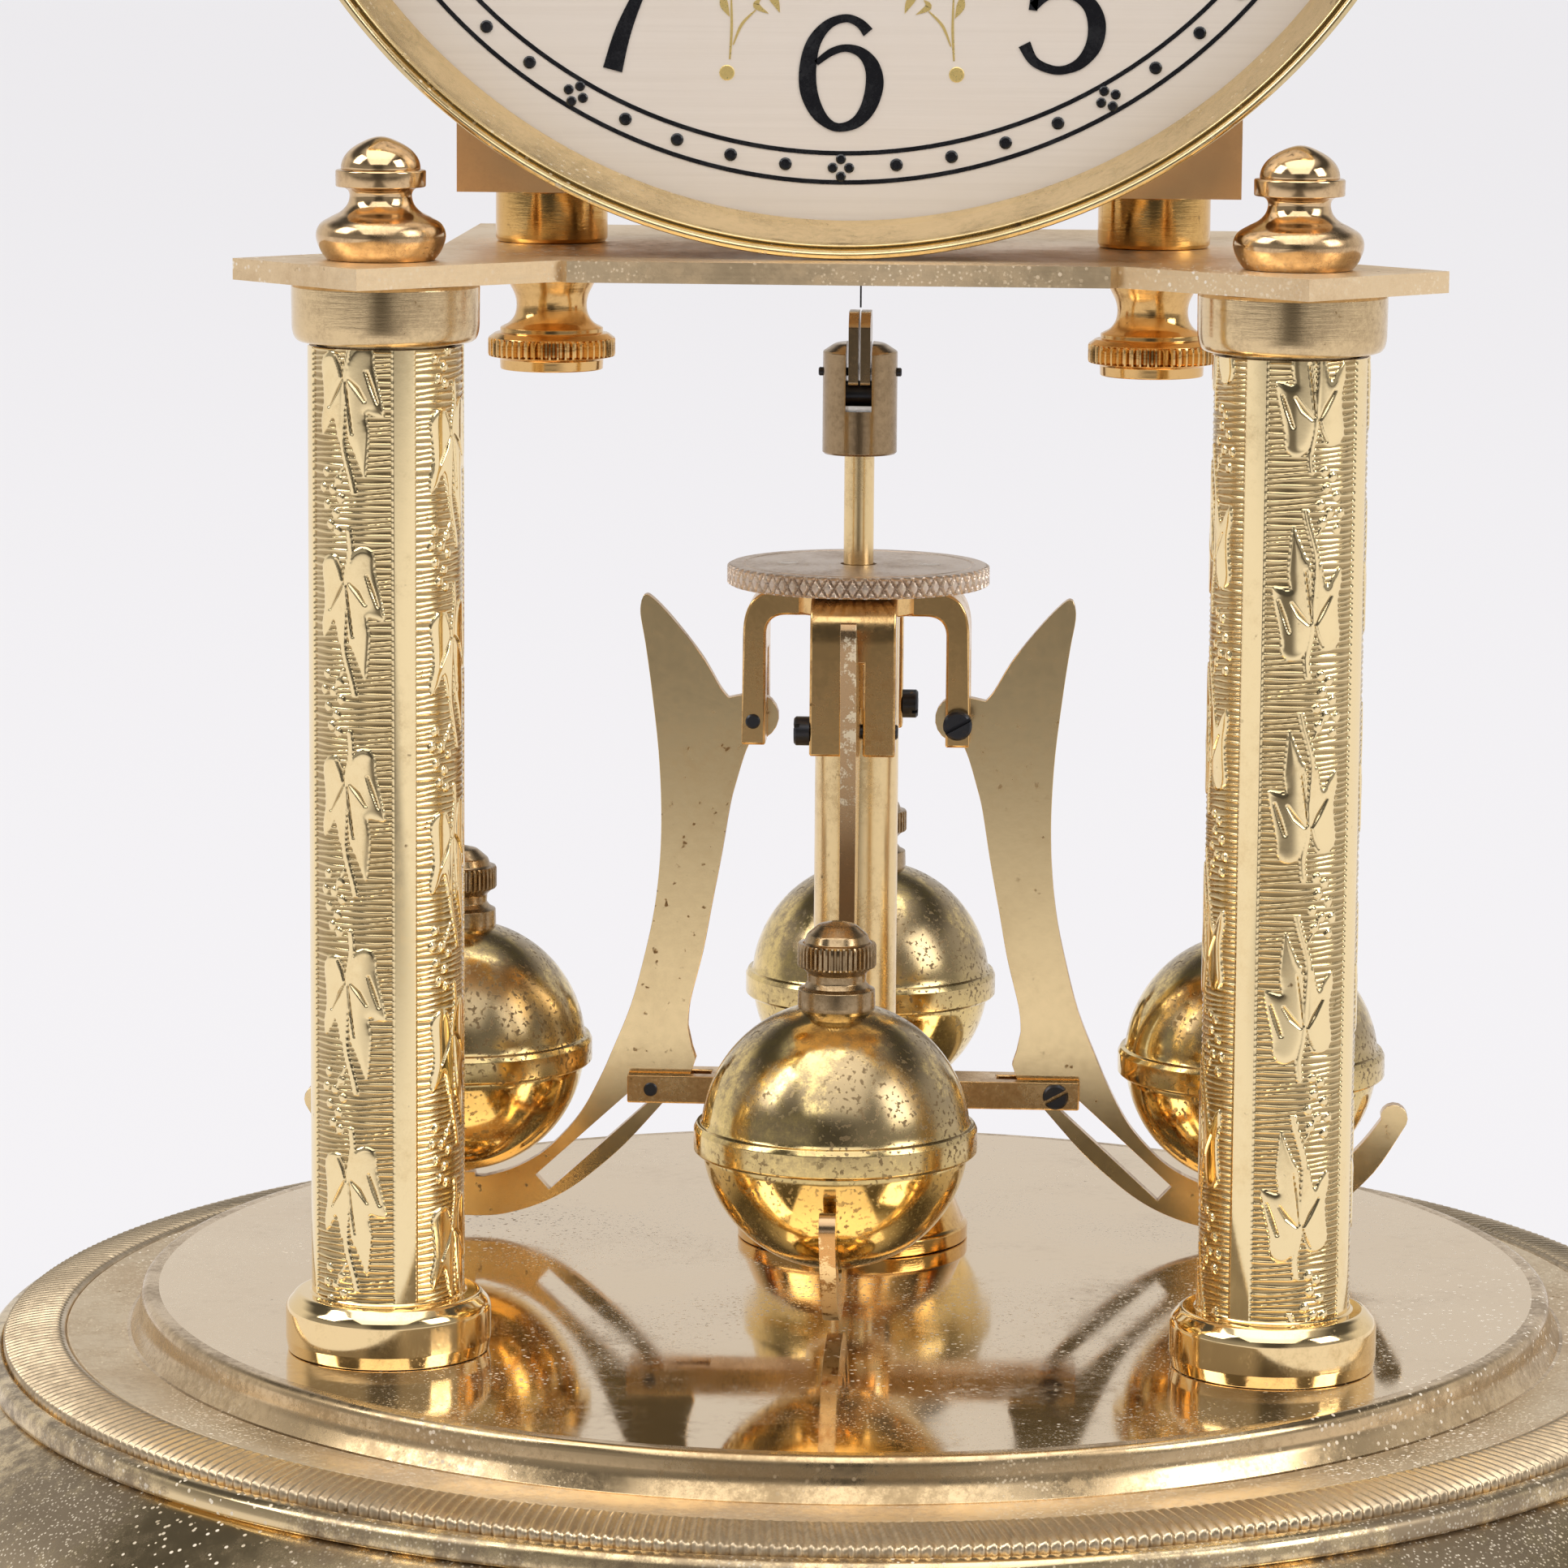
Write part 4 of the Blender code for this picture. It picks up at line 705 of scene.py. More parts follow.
def make_platform():
    dress_node("platform", "platform", 0.18)
    for side, sx in (("left", -1), ("right", 1)):
        at = (sx * 27.9, -3.75)
        foot = rounded([(0, -11.8), (1.7, -11.8), (1.7, SEAT), (5.0, SEAT, 0.1),
            (5.2, 0.4, 0.1), (5.2, 4.7, 0.1), (5.1, 4.9, 0.1), (1.7, 4.9), (1.7, 8.4),
            (0, 8.4)], 4)
        lathe("turned_foot_" + side, foot, "amber", (*at, TOP), nodes=["movement_foot_" + side])
        neck = curve([(4.65, -0.2), (4.4, -1.0), (3.9, -2.1), (3.42, -3.1), (3.27, -4.0),
            (3.42, -4.9), (3.9, -5.6), (4.6, -6.0)], 4)
        nut = ([(2.0, -0.05), (4.5, -0.05)] + neck
            + rounded([(4.6, -6.0), (4.78, -6.1, 0.08), (4.8, -6.5, 0.08), (5.3, -6.6, 0.15),
            (5.85, -7.0, 0.1), (5.92, -7.2), (5.92, -7.6), (5.92, -8.0),
            (5.92, -8.5), (5.85, -8.75, 0.1), (5.0, -8.9, 0.1), (4.82, -9.05, 0.1),
            (4.78, -9.95, 0.15), (4.5, -10.0), (2.0, -10.0)], 5)[1:])
        lathe("knurled_nut_" + side, nut, "orange", (*at, PLATFORM), segments=400,
            nodes=["thumb_nut_" + side], closed=True, warp=comb(50, 0.42, -8.7, -7.05))


def gear_outline(teeth, module, depth=1.1):
    """Wheel outline with rounded clock teeth on its pitch circle."""
    pitch = teeth * module / 2
    tip, root, step = pitch + module * 0.95, pitch - module * depth, math.tau / teeth
    shape = ((root, -0.5), (root, -0.27), (pitch, -0.24), (pitch + module * 0.5, -0.17),
        (tip, 0.0), (pitch + module * 0.5, 0.17), (pitch, 0.24), (root, 0.27))
    points = []
    for k in range(teeth):
        for radius, lead in shape:
            turn = (k + lead) * step
            points.append((radius * math.cos(turn), radius * math.sin(turn)))
    return points


def windows(inner, outer, count, spoke):
    """The openings between a wheel's spokes."""
    holes = []
    for k in range(count):
        mid = 360.0 * (k + 0.5) / count
        half_out = 180.0 / count - math.degrees(spoke / 2 / outer)
        half_in = 180.0 / count - math.degrees(spoke / 2 / inner)
        holes.append(arc(0, 0, outer, mid - half_out, mid + half_out, 10)
            + arc(0, 0, inner, mid + half_in, mid - half_in, 5))
    return holes


def wheel(name, nodes, body, at, teeth, module, span, profile, leaves, spokes=4):
    """Toothed wheel with spokes, its arbor and its pinion, all in one piece.

    leaves is the pinion: its count, its module and the two depths it runs between.
    """
    root = teeth * module / 2 - module * 1.1
    holes = windows(max(root * 0.22, 2.6), root - 1.7, spokes, 1.5) if spokes else []
    parts = [slab(gear_outline(teeth, module), holes, *span),
        slab(gear_outline(*leaves[:2]), [], *leaves[2:])]
    parts.append(laid(turn_grid(rounded(profile, 3), 28)))
    piece(name, *merged(parts), "wheel", body, nodes, (at[0], 0, at[1]), 30)


def toothed_tube(name, node_name, body, mat, at, profile, segments, teeth, module, hole, span):
    """Turned tube with a toothed rim round it."""
    rim = slab(gear_outline(teeth, module), [circle(0, 0, *hole)], *span)
    both = merged([laid(turn_grid(profile, segments, True)), rim])
    piece(name, *both, mat, body, [node_name], (at[0], 0, at[1]), 30)


def bar(low, high, radius=1.0, pivot=0.55, hubs=()):
    """Arbor profile with pivots at both ends and hubs (low, high, radius)."""
    out = [(0, low), (pivot, low), (pivot, low + 1.6), (radius, low + 1.6)]
    for a, b, r in hubs:
        out += [(radius, a), (r, a), (r, b), (radius, b)]
    return out + [(radius, high - 1.6), (pivot, high - 1.6), (pivot, high), (0, high)]


def centre_of(name):
    low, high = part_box(name)
    return ((low[0] + high[0]) / 2 / MM, (low[2] + high[2]) / 2 / MM)


def make_movement():
    for name in ("front_plate", "back_plate"):
        dress_node(name, "plate", 0.45)
    for name, mat in (("mainspring", "steel"),
            ("winding_arbor", "steel"), ("ratchet_wheel", "steel"),
            ("click", "steel"), ("anchor", "steel"),
            ("escape_wheel", "wheel"), ("suspension_bracket", "rod"),
            ("top_block", "aged"), ("suspension_wire", "black"), ("fork", "rod"),
            ("hour_hand", "black"), ("minute_hand", "black")):
        dress_node(name, mat, None if name in ("mainspring", "suspension_wire") else 0.08)
    drum = rounded([(2.3, -11.4), (18.0, -11.4, 0.2), (18.2, -9.9), (18.2, 0.9, 0.4), (15.8, 0.9),
        (15.6, 0.7), (2.3, 0.7), (2.3, 0.1), (17.4, 0.1), (17.4, -10.0),
        (2.3, -10.0)], 4)
    toothed_tube("toothed_barrel", "mainspring_barrel", "barrel", "wheel", (-8.5, 157.1), drum,
        72, 66, 0.6, (17.9, 72), (-11.4, -10.2))
    wheel("toothed_intermediate", ["intermediate_wheel"], "intermediate",
        centre_of("intermediate_wheel"), 78, 0.5, (1.6, 2.4), bar(-13.3, 5.8, hubs=((0.9, 3.0,
        2.4),)), (10, 0.6, -11.6, -9.8))
    centre = [(0, -24.6), (0.8, -24.6), (0.8, -13.9), (1.2, -13.9), (1.2, 1.1), (1.2, 2.5),
        (2.2, 2.5), (2.2, 4.0), (1.0, 4.0), (1.0, 4.2), (0.55, 4.2), (0.55, 5.8), (0, 5.8)]
    wheel("toothed_centre", ["centre_wheel"], "centre", (0, DIAL_Z), 60, 0.5, (3.0, 3.7),
        centre, (12, 0.5, 1.1, 2.9))
    wheel("toothed_third", ["third_wheel"], "third", centre_of("third_wheel"), 48, 0.6,
        (-8.2, -7.4), bar(-13.3, 5.8, hubs=((-8.8, -6.8, 2.2),)), (12, 0.5, 2.6, 4.1))
    cannon = [(1.1, -23.0), (1.6, -23.0), (1.6, -15.9), (1.6, -14.2), (1.1, -14.2)]
    toothed_tube("toothed_cannon", "cannon_pinion", "centre", "steel", (0, DIAL_Z), cannon,
        28, 12, 0.5, (1.35, 20), (-15.9, -14.2))
    minute = [(0, -18.4), (0.7, -18.4), (0.7, -17.6), (1.2, -17.6), (1.2, -13.9), (0.55, -13.9),
        (0.55, -12.2), (0, -12.2)]
    wheel("toothed_minute", ["minute_wheel"], "minute_work", (0, DIAL_Z - 12.0), 36, 0.5,
        (-14.9, -13.9), minute, (10, 0.48, -17.6, -14.9), 0)
    pipe = [(2.0, -21.3), (2.6, -21.3), (2.6, -16.2), (2.0, -16.2)]
    toothed_tube("toothed_hour", "hour_wheel", "hour", "wheel", (0, DIAL_Z), pipe,
        32, 40, 0.48, (2.3, 24), (-17.2, -16.2))
    nut = rounded([(1.05, -25.0), (1.9, -25.0, 0.3), (2.3, -24.5, 0.2), (2.3, -23.9, 0.1),
        (1.05, -23.9)], 4)
    lathe("round_hand_nut", nut, "rod", (0, 0, DIAL_Z), "centre", ["hand_nut"], 48, True,
        along="Y")


# ---------------------------------------------------------------- dial

# Each numeral is a set of pen strokes of (x, height, width), in units of its height
DIGITS = {
    "0": [[(0, .97, .06), (-.2, .86, .11), (-.28, .5, .15), (-.2, .14, .11), (0, .03, .07),
           (.2, .14, .11), (.28, .5, .15), (.2, .86, .11), (0, .97, .06)]],
    "1": [[(-.17, .76, .05), (-.02, .95, .10)],
          [(.02, .99, .14), (.02, .5, .14), (.02, .01, .16)]],
    "2": [[(-.28, .72, .11), (-.22, .87, .09), (-.03, .96, .065), (.16, .89, .11),
           (.24, .72, .15), (.16, .5, .12), (-.05, .27, .09), (-.25, .06, .08)],
          [(-.29, .05, .10), (0, .05, .10), (.3, .05, .10)]],
    "3": [[(-.27, .80, .11), (-.18, .92, .08), (0, .965, .06), (.18, .87, .11),
           (.2, .74, .13), (.08, .6, .08), (-.05, .56, .06)],
          [(-.05, .56, .06), (.15, .5, .09), (.28, .34, .15), (.26, .18, .15),
           (.12, .05, .08), (-.05, .035, .07), (-.22, .09, .08), (-.3, .2, .10)]],
    "4": [[(.10, .97, .06), (-.31, .29, .08)], [(-.34, .27, .08), (.33, .27, .08)],
          [(.11, .99, .13), (.11, .5, .13), (.11, .01, .16)]],
    "5": [[(-.32, .25, .11), (-.24, .11, .085), (-.1, .04, .075), (.03, .035, .075),
           (.17, .10, .10), (.275, .245, .14), (.30, .42, .155), (.25, .57, .135),
           (.14, .66, .10), (0, .69, .07), (-.14, .655, .07), (-.25, .57, .085)],
          [(-.25, .54, .075), (-.225, .75, .07), (-.20, .97, .07)],
          [(-.22, .945, .10), (.28, .945, .10)]],
    "6": [[(.225, .845, .10), (.15, .925, .08), (.03, .965, .07), (-.12, .91, .085),
           (-.24, .76, .12), (-.29, .56, .145), (-.285, .35, .15), (-.215, .17, .125),
           (-.11, .06, .085), (.0, .03, .075), (.135, .08, .10), (.235, .21, .135),
           (.285, .40, .155), (.26, .56, .13), (.17, .67, .09), (.04, .71, .065),
           (-.09, .675, .065), (-.22, .58, .05)]],
    "7": [[(-.3, .945, .11), (.31, .945, .11)],
          [(.29, .95, .09), (.14, .66, .10), (.0, .33, .14), (-.09, .0, .17)]],
    "8": [[(0, .53, .10), (-.18, .64, .11), (-.21, .78, .12), (-.1, .93, .07), (.03, .97, .06),
           (.18, .9, .09), (.21, .77, .11), (.12, .62, .09), (0, .53, .10), (-.2, .4, .11),
           (-.28, .24, .14), (-.19, .08, .11), (0, .03, .07), (.2, .09, .11), (.28, .25, .15),
           (.18, .43, .11), (0, .53, .10)]],
}
DIGITS["9"] = [[(-x, 1.0 - y, w) for x, y, w in line] for line in DIGITS["6"]]


def ribbon(line, y, thick):
    """Raised line of varying width in the dial's plane, from (x, z, width) points."""
    pts = [np.array(p) for p in line]
    verts, faces = [], []
    for k, p in enumerate(pts):
        run = pts[min(k + 1, len(pts) - 1)][:2] - pts[max(k - 1, 0)][:2]
        side = np.array([-run[1], run[0]]) / max(np.hypot(*run), 1e-9) * p[2] / 2
        for sign in (1, -1):
            x, z = p[:2] + side * sign
            verts += [(x, y, z), (x, y - thick, z)]
    for k in range(len(pts) - 1):
        a = 4 * k
        faces += [(a + 1, a + 3, a + 7, a + 5), (a, a + 1, a + 5, a + 4),
            (a + 2, a + 6, a + 7, a + 3), (a, a + 4, a + 6, a + 2)]
    end = 4 * (len(pts) - 1)
    faces += [(0, 2, 3, 1), (end, end + 1, end + 3, end + 2)]
    return verts, faces


def dome(x, z, radius, y, thick, shoulder=0.75, count=14):
    """Small round button standing out of the dial."""
    profile = [(0, 0), (radius, 0), (radius, thick * 0.4), (radius * shoulder, thick * 0.85),
        (0, thick)]
    verts, faces = turn_grid(profile, count)
    return [(x + a, y - c, z + b) for a, b, c in verts], faces


def make_dial():
    face = slab(circle(0, 0, 53.2, 144), [circle(0, 0, 3.1, 32)], DIAL_Y, DIAL_Y + 0.8)
    feet = [rod_part((x, DIAL_Y + 0.7, z), (x, -13.8, z), 1.3, 20, 0.2)
        for x, z in ((-28, 20), (28, 20), (0, -36))]
    piece("dial_disc", *merged([face] + feet), "dial", nodes=["dial"], at=(0, 0, DIAL_Z))
    front, marks = DIAL_Y - 0.002, []
    centre = (-0.35, 0, DIAL_Z - 0.15)
    for radius in (46.5, 49.1):
        ring = [(radius * math.sin(t), radius * math.cos(t), 0.40)
            for t in np.linspace(0, math.tau, 181)]
        marks.append(ribbon(ring, front, 0.05))
    for k in range(60):
        turn = math.tau * k / 60
        x, z = math.sin(turn), math.cos(turn)
        if k % 5:
            marks.append(dome(47.75 * x, 47.75 * z, 0.58, front, 0.2))
            continue
        for out, aside in ((0.78, 0), (-0.78, 0), (0, 0.74), (0, -0.74)):
            r = 47.8 + out
            marks.append(dome(r * x + aside * z, r * z - aside * x, 0.46, front, 0.2))
    for hour in range(1, 13):
        turn = math.tau * hour / 12
        x, z = 39.3 * math.sin(turn), 39.3 * math.cos(turn)
        digits = str(hour)
        for place, digit in enumerate(digits):
            shift = (place - (len(digits) - 1) / 2) * 5.6
            for line in DIGITS[digit]:
                dense = curve(line, 8)
                scaled = [(x + shift + a * 10.4, z + (b - 0.5) * 10.4, w * 10.4)
                    for a, b, w in dense]
                marks.append(ribbon(scaled, front, 0.09))
    piece("dial_printing", *merged(marks), "ink", nodes=[], at=centre, smooth=25)

    gilt = []
    sprig = [[(10.05, -38.2, 0.16), (9.9, -35.5, 0.24), (9.95, -32.6, 0.14)],
        [(9.75, -36.9, 0.12), (9.0, -35.1, 0.26), (7.75, -33.8, 0.12)],
        [(10.7, -32.2, 0.05), (10.6, -33.3, 0.75), (10.1, -34.4, 0.04)],
        [(7.3, -32.8, 0.05), (7.7, -33.4, 0.6), (6.6, -34.1, 0.04)],
        [(7.0, -32.1, 0.05), (6.1, -32.9, 0.7), (5.6, -34.0, 0.04)],
        [(9.9, -31.6, 0.2), (8.6, -30.2, 0.28), (6.0, -29.6, 0.3), (3.4, -28.6, 0.3),
        (0.4, -26.4, 0.5)],
        [(4.6, -29.0, 0.05), (4.2, -30.2, 0.8), (3.2, -31.2, 0.04)],
        [(8.6, -30.2, 0.05), (9.3, -29.0, 0.8), (9.3, -27.6, 0.04)]]
    for k in range(0, 12, 2):
        turn = Matrix.Rotation(math.tau * k / 12, 4, "Y")
        for sign in (1, -1):
            for line in sprig:
                line = [(sign * x, z, w) for x, z, w in curve(line, 6)]
                gilt.append(moved(ribbon(line, front, 0.04), turn))
            gilt.append(moved(dome(sign * 10.3, -39.4, 0.7, front, 0.08, 0.9), turn))
    piece("dial_ornament", *merged(gilt), "gilt", nodes=[], at=centre, smooth=25)

    ring = rounded([(53.6, DIAL_Y - 0.3), (52.6, DIAL_Y - 0.3, 0.15), (53.1, -21.6, 0.8),
        (54.3, -25.9, 0.8), (54.55, -26.5, 0.2), (54.75, -26.0, 0.08),
        (54.95, -26.6, 0.2), (55.25, -27.0, 0.3), (55.72, -26.75, 0.3),
        (55.72, -25.3, 0.5), (55.1, -24.0, 0.6), (54.9, -22.8, 0.6),
        (54.7, -17.8), (54.0, -17.8), (53.6, -17.9)], 8)
    lathe("turned_bezel", ring, "bezel", (0, 0, DIAL_Z), nodes=["bezel"], segments=256,
        closed=True, along="Y")


# ---------------------------------------------------------------- pendulum

def make_hook():
    profile = rounded([(0, 76.1), (3.4, 76.1, 0.2), (3.6, 76.3, 0.1), (3.6, 86.0, 0.3),
        (2.4, 86.8, 1.5), (0, 87.1)], 6)
    body = cut(turn_grid(profile, 64), box_part((-1.25, -6, 80.4), (1.25, 6, 90)))
    bevel(piece("slotted_hook", *body, "hook", "pendulum", ["hook"], PENDULUM, 30), 0.1)
    rod = rounded([(0, 55.3), (1.3, 55.3), (1.45, 55.5), (1.45, 76.2), (0, 76.2)], 3)
    lathe("hook_rod", rod, "rod", PENDULUM, "pendulum", ["hook"], 64)
    pins = merged([rod_part((-4.0, 0, 84.0), (-1.1, 0, 84.0), 0.42, 20, 0.1),
        rod_part((1.1, 0, 84.0), (4.0, 0, 84.0), 0.42, 20, 0.1),
        rod_part((-1.25, 0, 81.9), (1.25, 0, 81.9), 1.25, 32)])
    piece("hook_cross_pin", *pins, "black", "pendulum", ["hook"], PENDULUM)
    outline = rounded([(-2.3, 82.9), (-2.4, 83.1, 0.3), (-2.4, 88.6, 0.8), (-1.4, 89.9, 0.4),
        (1.4, 89.9, 0.4), (2.4, 88.6, 0.8), (2.4, 83.1, 0.3), (2.3, 82.9)], 4)
    quarter = Matrix.Rotation(math.pi / 2, 4, "Z")
    hole = circle(0, 84.3, 0.6, 20)
    parts = [moved(slab(outline, [hole], a, b), quarter)
        for a, b in ((-1.05, -0.1), (0.1, 1.05))]
    bevel(piece("strip_clamp", *merged(parts), "aged", "pendulum", ["bottom_block"],
        PENDULUM, 30), 0.12)


def make_disc():
    """Regulating disc with a diamond knurl, a turned groove and two key holes."""
    teeth = 66

    def knurl(r, z, turn):
        edge = (r > 12.4).astype(float)
        level = (z - 64.4) * 3.1
        one = np.clip(np.cos(teeth * turn + level), 0, 1) ** 5
        two = np.clip(np.cos(teeth * turn - level), 0, 1) ** 5
        return r - 0.34 * np.maximum(one, two) * edge, z

    rim = [(12.35, 65.4), (12.6, 65.28)] + [(12.7, z) for z in np.linspace(65.2, 63.6, 13)]
    low = [(12.6, 63.52), (12.35, 63.4), (1.75, 63.4)]
    top = [(1.75, 65.4), (10.9, 65.4), (11.0, 65.28), (11.2, 65.28), (11.3, 65.4)]
    lathe("knurled_disc", top + rim + low, "disc", PENDULUM, "disc",
        ["regulating_disc"], teeth * 8, True, knurl, smooth=40)
    marks = merged([rod_part((x, 0, 65.30), (x, 0, 65.41), 1.05, 32) for x in (-6.9, 6.9)])
    piece("disc_key_holes", *marks, "aged", "disc", [], PENDULUM)


def slotted_screw(base, tip, radius, length):
    """Cheese-head screw standing on base, its head towards tip."""
    base, tip = Vector(base), Vector(tip)
    run = (tip - base).normalized()
    profile = [(0, 0), (radius, 0), (radius, length - 0.2), (radius - 0.2, length), (0, length)]
    slot = box_part((-radius - 1, -0.18, length - 0.55), (radius + 1, 0.18, length + 1))
    head = cut(turn_grid(profile, 32), moved(slot, Matrix.Rotation(0.5, 4, "Z")))
    turn = run.to_track_quat("Z", "Y").to_matrix().to_4x4()
    return moved(head, Matrix.Translation(base) @ turn)


def make_bracket():
    """Sliding bracket: hub plate and four bent arms with slots, pins and screws."""
    out, high, low = 11.0, 63.1, 48.1
    centre = rounded([(4.6, high), (out - 0.1, high, 4.3), (out, low)], 14)
    inside = rounded([(4.6, high - 2.3), (out - 2.3, high - 2.3, 2.0), (out - 2.3, low)], 14)
    profile = centre + inside[::-1]
    hub = turn_grid(rounded([(4.4, high - 2.2), (6.9, high - 2.2), (6.9, high), (4.4, high)]),
        48, True)
    arm = cut(slab(profile, [], -4.1, 4.1), box_part((4.0, -1.0, low - 3), (out + 2, 1.0, 57.0)))
    both = merged([hub, quarters(arm)])
    bevel(piece("bracket_arms", *both, "bracket", "bracket", ["upper_bracket"], PENDULUM, 30),
        0.22, 3)
    x, z = PIVOT
    pins = quarters(rod_part((x, -4.05, z), (x, 4.35, z), 0.72, 20, 0.15))
    screws = quarters(slotted_screw((x, -4.1, z), (x, -6, z), 1.4, 1.5))
    piece("bracket_pins", *pins, "black", "bracket", [], PENDULUM)
    piece("bracket_screws", *screws, "black", "bracket", [], PENDULUM)


def make_cross():
    """Centre tube and the forked arms that hold the slot pins."""
    tube = rounded([(0, 5.0), (1.6, 5.0, 0.2), (2.0, 5.8), (2.0, 9.4), (4.4, 10.6, 0.3),
        (4.6, 12.0), (4.6, 15.6, 0.3), (4.05, 16.0), (4.05, 61.6, 0.3), (3.6, 62.0),
        (1.8, 62.0), (1.8, 54.9), (0, 54.9)], 4)
    lathe("cross_tube", tube, "rod", PENDULUM, "pendulum", ["lower_cross"], 64)
    arms = quarters(cut(box_part((3.6, -2.6, 12.3), (22.1, 2.6, 15.0)),
        box_part((14.0, -1.0, 10), (24, 1.0, 17))))
    bevel(piece("cross_arms", *arms, "cross", "pendulum", ["lower_cross"], PENDULUM, 30), 0.15)
    x, z = SLOT_PIN
    pins = quarters(rod_part((x, -2.4, z), (x, 2.75, z), 0.68, 20, 0.1))
    screws = quarters(slotted_screw((x, -2.55, z), (x, -5, z), 1.25, 0.5))
    piece("cross_pins", *pins, "black", "pendulum", [], PENDULUM)
    piece("cross_screws", *screws, "black", "pendulum", [], PENDULUM)


def lever_shape():
    """Outline and holes of a lever: radius outward and height above the deck."""
    outer = curve([(21.0, 61.6), (21.1, 60.3), (20.6, 57.4), (20.0, 53.1), (19.3, 47.0),
        (19.0, 41.2), (19.1, 36.3), (19.6, 31.5), (20.5, 27.0), (21.9, 21.7),
        (23.9, 16.7), (25.0, 14.2), (26.7, 11.0), (28.6, 8.6), (30.9, 6.5),
        (33.7, 5.0), (36.4, 4.2)], 4)
    seat = [(37.2, 4.2), (37.3, 4.6), (40.3, 4.6), (40.4, 4.1)]
    hook_in = curve([(40.4, 4.1), (44.0, 4.6), (47.0, 6.3), (49.8, 9.2), (51.6, 11.6)], 4)
    tip = arc(52.8, 11.7, 1.35, 165, -25, 8)
    under = curve([(53.6, 10.4), (50.9, 6.2), (47.0, 2.6), (43.6, 1.0), (40.4, 0.4), (36.0, 0.3),
        (33.2, 0.8), (30.4, 1.8), (28.0, 3.1), (25.6, 4.9), (22.4, 7.8),
        (18.5, 12.2)], 4)
    heel = [(16.2, 14.3), (15.5, 16.4), (15.9, 17.6)]
    waist = curve([(16.3, 19.5), (16.1, 22.0), (14.9, 26.9), (14.0, 31.8), (13.1, 36.6),
        (12.3, 41.5), (11.7, 43.9), (10.9, 46.6), (10.2, 48.2)], 4)
    ear = arc(*PIVOT, 2.3, 280, 60, 12)
    horn = curve([(12.5, 52.2), (13.3, 53.2), (14.8, 55.8), (16.5, 58.1), (18.6, 60.6),
        (20.2, 62.1), (20.8, 62.1)], 4)
    low, end = Vector(SLOT_PIN), Vector((30.6, 3.75))
    run = (end - low).normalized()
    side = Vector((-run.y, run.x))
    turn = math.degrees(math.atan2(side.y, side.x))
    slot = arc(low.x, low.y, 1.0, turn, turn + 180, 10)
    slot += [tuple(end - side), tuple(end + side)]
    outline = outer + seat + hook_in[1:] + tip + under[1:] + heel + waist + ear[1:-1] + horn
    return outline, [slot, circle(*PIVOT, 0.95, 20)]


def make_levers():
    outline, holes = lever_shape()
    outline, *holes = [[(x - PIVOT[0], z - PIVOT[1]) for x, z in loop]
        for loop in [outline] + holes]
    ball = rounded([(0, -12.3), (1.6, -12.28)] + arc(0, 0, 12.25, -82, -8, 30)
        + [(12.1, -1.5), (12.75, -1.45, 0.12), (13.0, -1.2, 0.15),
        (13.0, 0.75, 0.25), (12.75, 1.25, 0.2), (12.4, 1.3, 0.1)]
        + arc(0, 0.1, 12.35, 7, 78, 30) + [(1.6, 12.4), (0, 12.4)], 4)
    nut = rounded([(0, 12.3), (2.6, 12.15), (3.5, 11.9), (3.55, 12.3, 0.1), (3.5, 13.7, 0.15),
        (3.0, 13.95, 0.2), (2.65, 14.4, 0.3), (2.7, 15.2, 0.4), (3.25, 15.75, 0.1),
        (3.5, 15.8), (3.6, 15.95), (3.6, 16.6), (3.6, 17.2), (3.6, 17.75),
        (3.5, 17.95), (3.15, 18.0, 0.1), (3.0, 18.1, 0.1), (2.75, 18.75, 0.5),
        (1.7, 19.65, 0.8), (0.5, 19.95, 0.4), (0, 19.95)], 5)
    for name, turn in (("right", 0), ("back", 90), ("left", 180), ("front", 270)):
        spin = Matrix.Rotation(math.radians(turn), 4, "Z")
        verts, faces = moved(slab(outline, holes, -0.75, 0.75), spin)
        at, place = [Vector(PENDULUM) + spin @ Vector((p[0], 0, p[1])) for p in (PIVOT, BALL)]
        edge = "lever_worn" if name == "front" else "lever_edge"
        bevel(piece("flat_lever_" + name, verts, faces, ["lever", edge], "arm_" + name,
            ["lever_" + name], at, 35, [int(len(face) == 4) for face in faces]), 0.1)
        lathe("turned_ball_" + name, ball, "ball", place, "arm_" + name, ["ball_" + name],
            smooth=28)
        lathe("knurled_ball_nut_" + name, nut, "aged", place, "arm_" + name,
            ["ball_nut_" + name], 252, warp=comb(42, 0.25, 15.9, 17.85), smooth=28)


# ---------------------------------------------------------------- scene

def make_floor_piece():
    verts = [(-9000, -9000, 0), (9000, -9000, 0), (9000, 9000, 0), (-9000, 9000, 0)]
    obj = piece("studio_floor", verts, [(0, 1, 2, 3)], "floor", body=None, smooth=0)


def softbox(name, at, size, radiance):
    """Area light that faces the clock."""
    lamp = bpy.data.lights.new(name, "AREA")
    lamp.shape = "RECTANGLE"
    lamp.size, lamp.size_y = size
    lamp.energy = radiance * math.pi * size[0] * size[1]
    obj = bpy.data.objects.new(name, lamp)
    obj.location = at
    aim = Vector((0, 0, 0.06)) - Vector(at)
    obj.rotation_euler = aim.to_track_quat("-Z", "Y").to_euler()
    bpy.context.scene.collection.objects.link(obj)


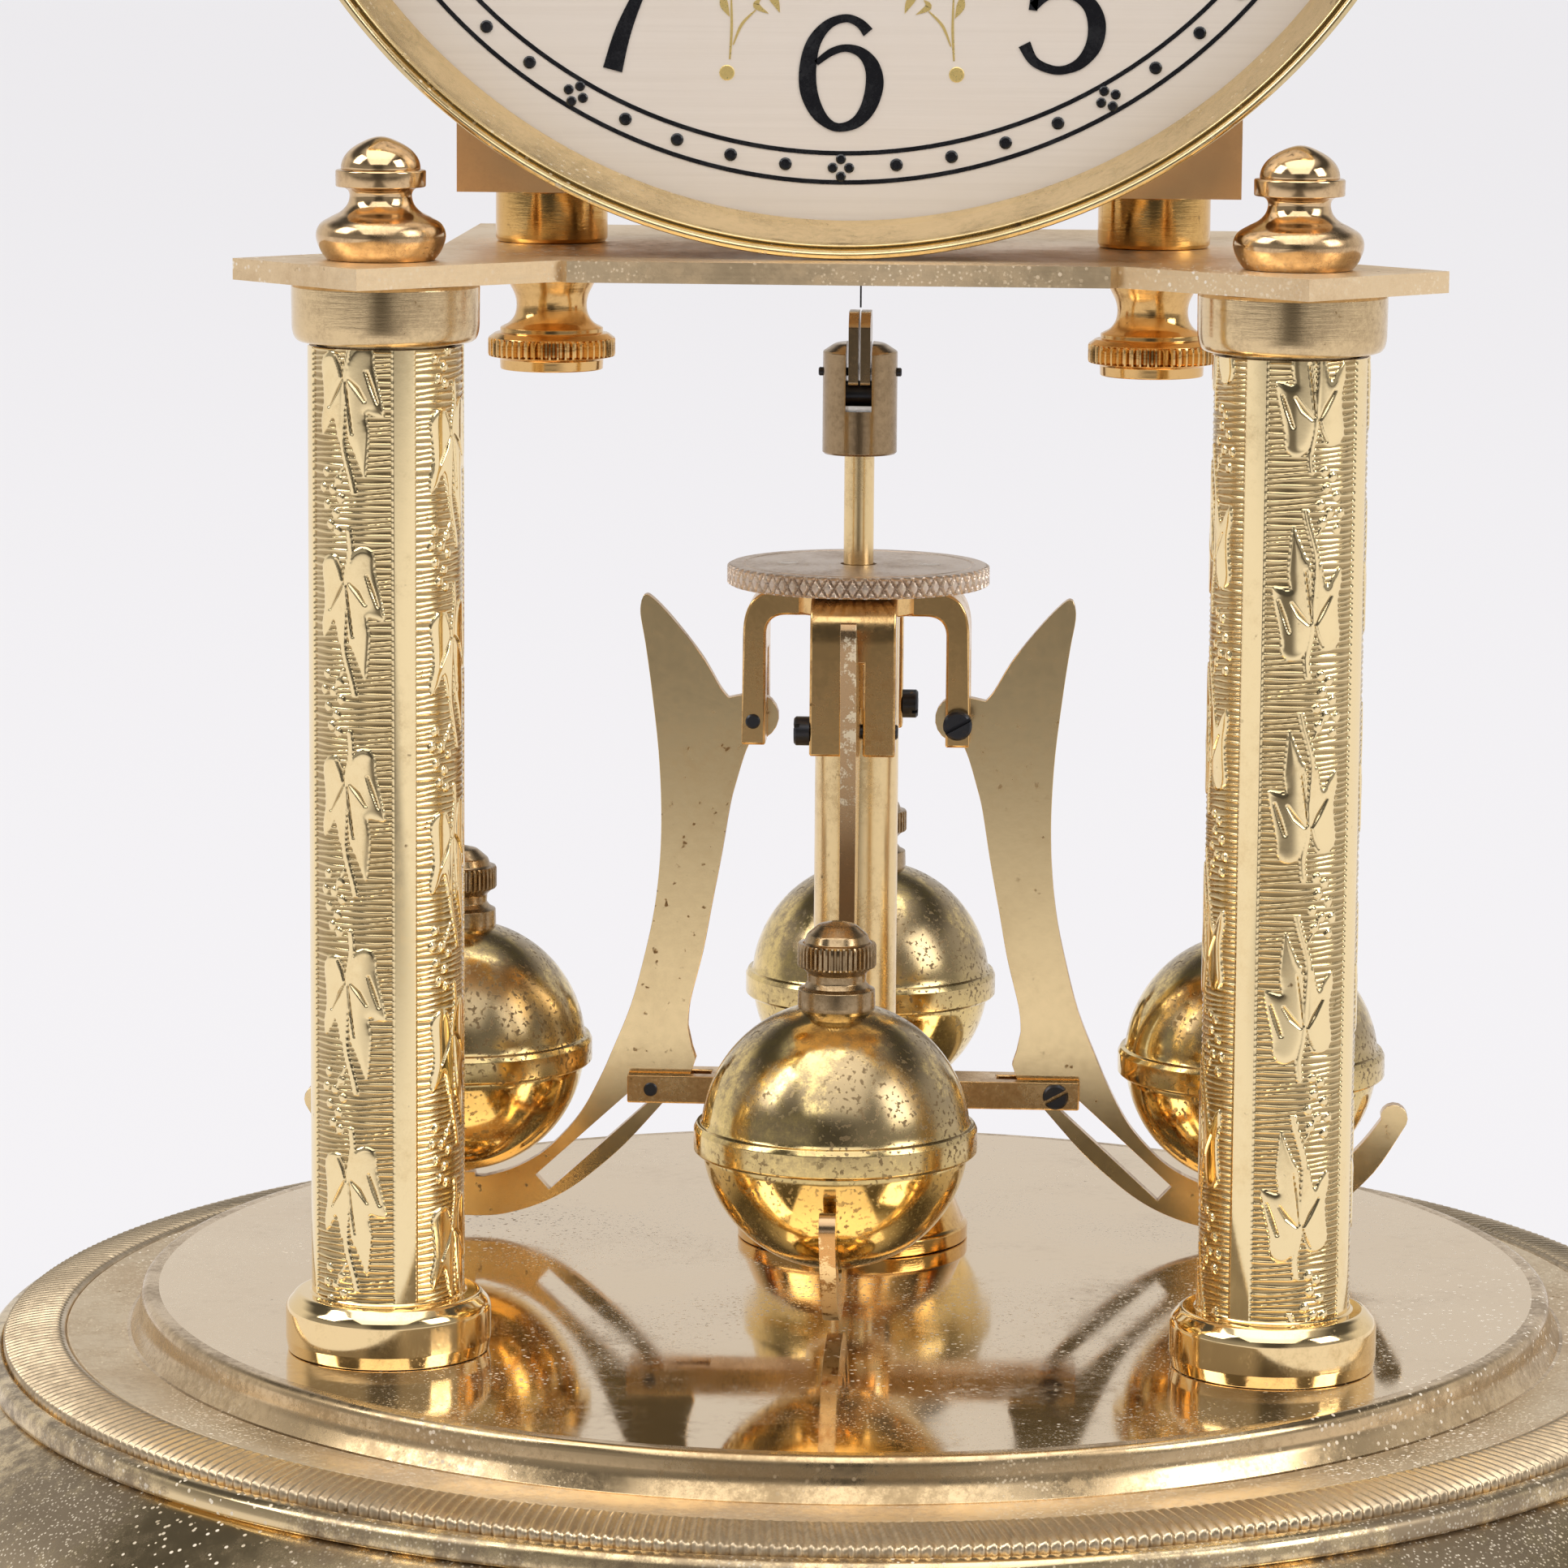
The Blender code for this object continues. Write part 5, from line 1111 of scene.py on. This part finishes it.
def make_world():
    """What the brass sees: a pale sweep behind, a dim room above and in front."""
    world = bpy.data.worlds.new("studio")
    bpy.context.scene.world = world
    world.use_nodes = True
    tree = world.node_tree
    aside, ahead, up = split(node(tree, "TexCoord").outputs["Generated"])
    sweep = times(ramp(ahead, -0.15, 0.35), ramp(up, 0.62, 0.40))
    side = times(ramp(calc("ABSOLUTE", aside), 0.14, 0.42), ramp(up, 0.7, 0.1))
    level = calc("MAXIMUM", mad(sweep, 0.70, 0.08), mad(side, 0.24, 0.08))
    level = mad(ramp(up, 0.74, 0.93), 0.62, level)
    tint = blend(level, (0.0, 0.0, 0.0), (1.0, 0.985, 0.98))
    seen = node(tree, "LightPath").outputs["Is Camera Ray"]
    tint = blend(seen, tint, (0.83, 0.82, 0.84))
    feed(tree.nodes["Background"], {"Color": tint, "Strength": 1.0})


def make_camera():
    data = bpy.data.cameras.new("camera")
    data.lens = 138.64
    data.sensor_width = 36.0
    data.clip_start, data.clip_end = 0.02, 60.0
    obj = bpy.data.objects.new("camera", data)
    bpy.context.scene.collection.objects.link(obj)
    yaw, pitch, roll = 0.0545, 0.1536, 0.0072
    ahead = Vector((-math.sin(yaw) * math.cos(pitch), math.cos(yaw) * math.cos(pitch),
        -math.sin(pitch)))
    right = Vector((math.cos(yaw), math.sin(yaw), 0))
    up = right.cross(ahead)
    x = right * math.cos(roll) + up * math.sin(roll)
    y = up * math.cos(roll) - right * math.sin(roll)
    turn = Matrix((x, y, -ahead)).transposed().to_4x4()
    obj.matrix_world = Matrix.Translation(Vector((24.6, -563.6, 164.7)) * MM) @ turn
    bpy.context.scene.camera = obj


make_base()
make_column("left", -1, spin=-69.9, shift=10.1, flip=False)
make_column("right", 1, spin=-116.4, shift=4.0, flip=True)
make_platform()
make_movement()
make_dial()
make_hook()
make_disc()
make_bracket()
make_cross()
make_levers()
make_floor_piece()
make_world()
softbox("key_left", (-1.30, -0.40, 1.22), (0.78, 0.98), 5.2)
softbox("key_right", (1.42, -0.62, 0.94), (0.78, 0.98), 5.2)
softbox("key_front", (0, -0.52, 1.36), (1.50, 2.30), 1.8)
make_camera()

bpy.context.scene.view_settings.view_transform = "Standard"
bpy.context.view_layer.update()
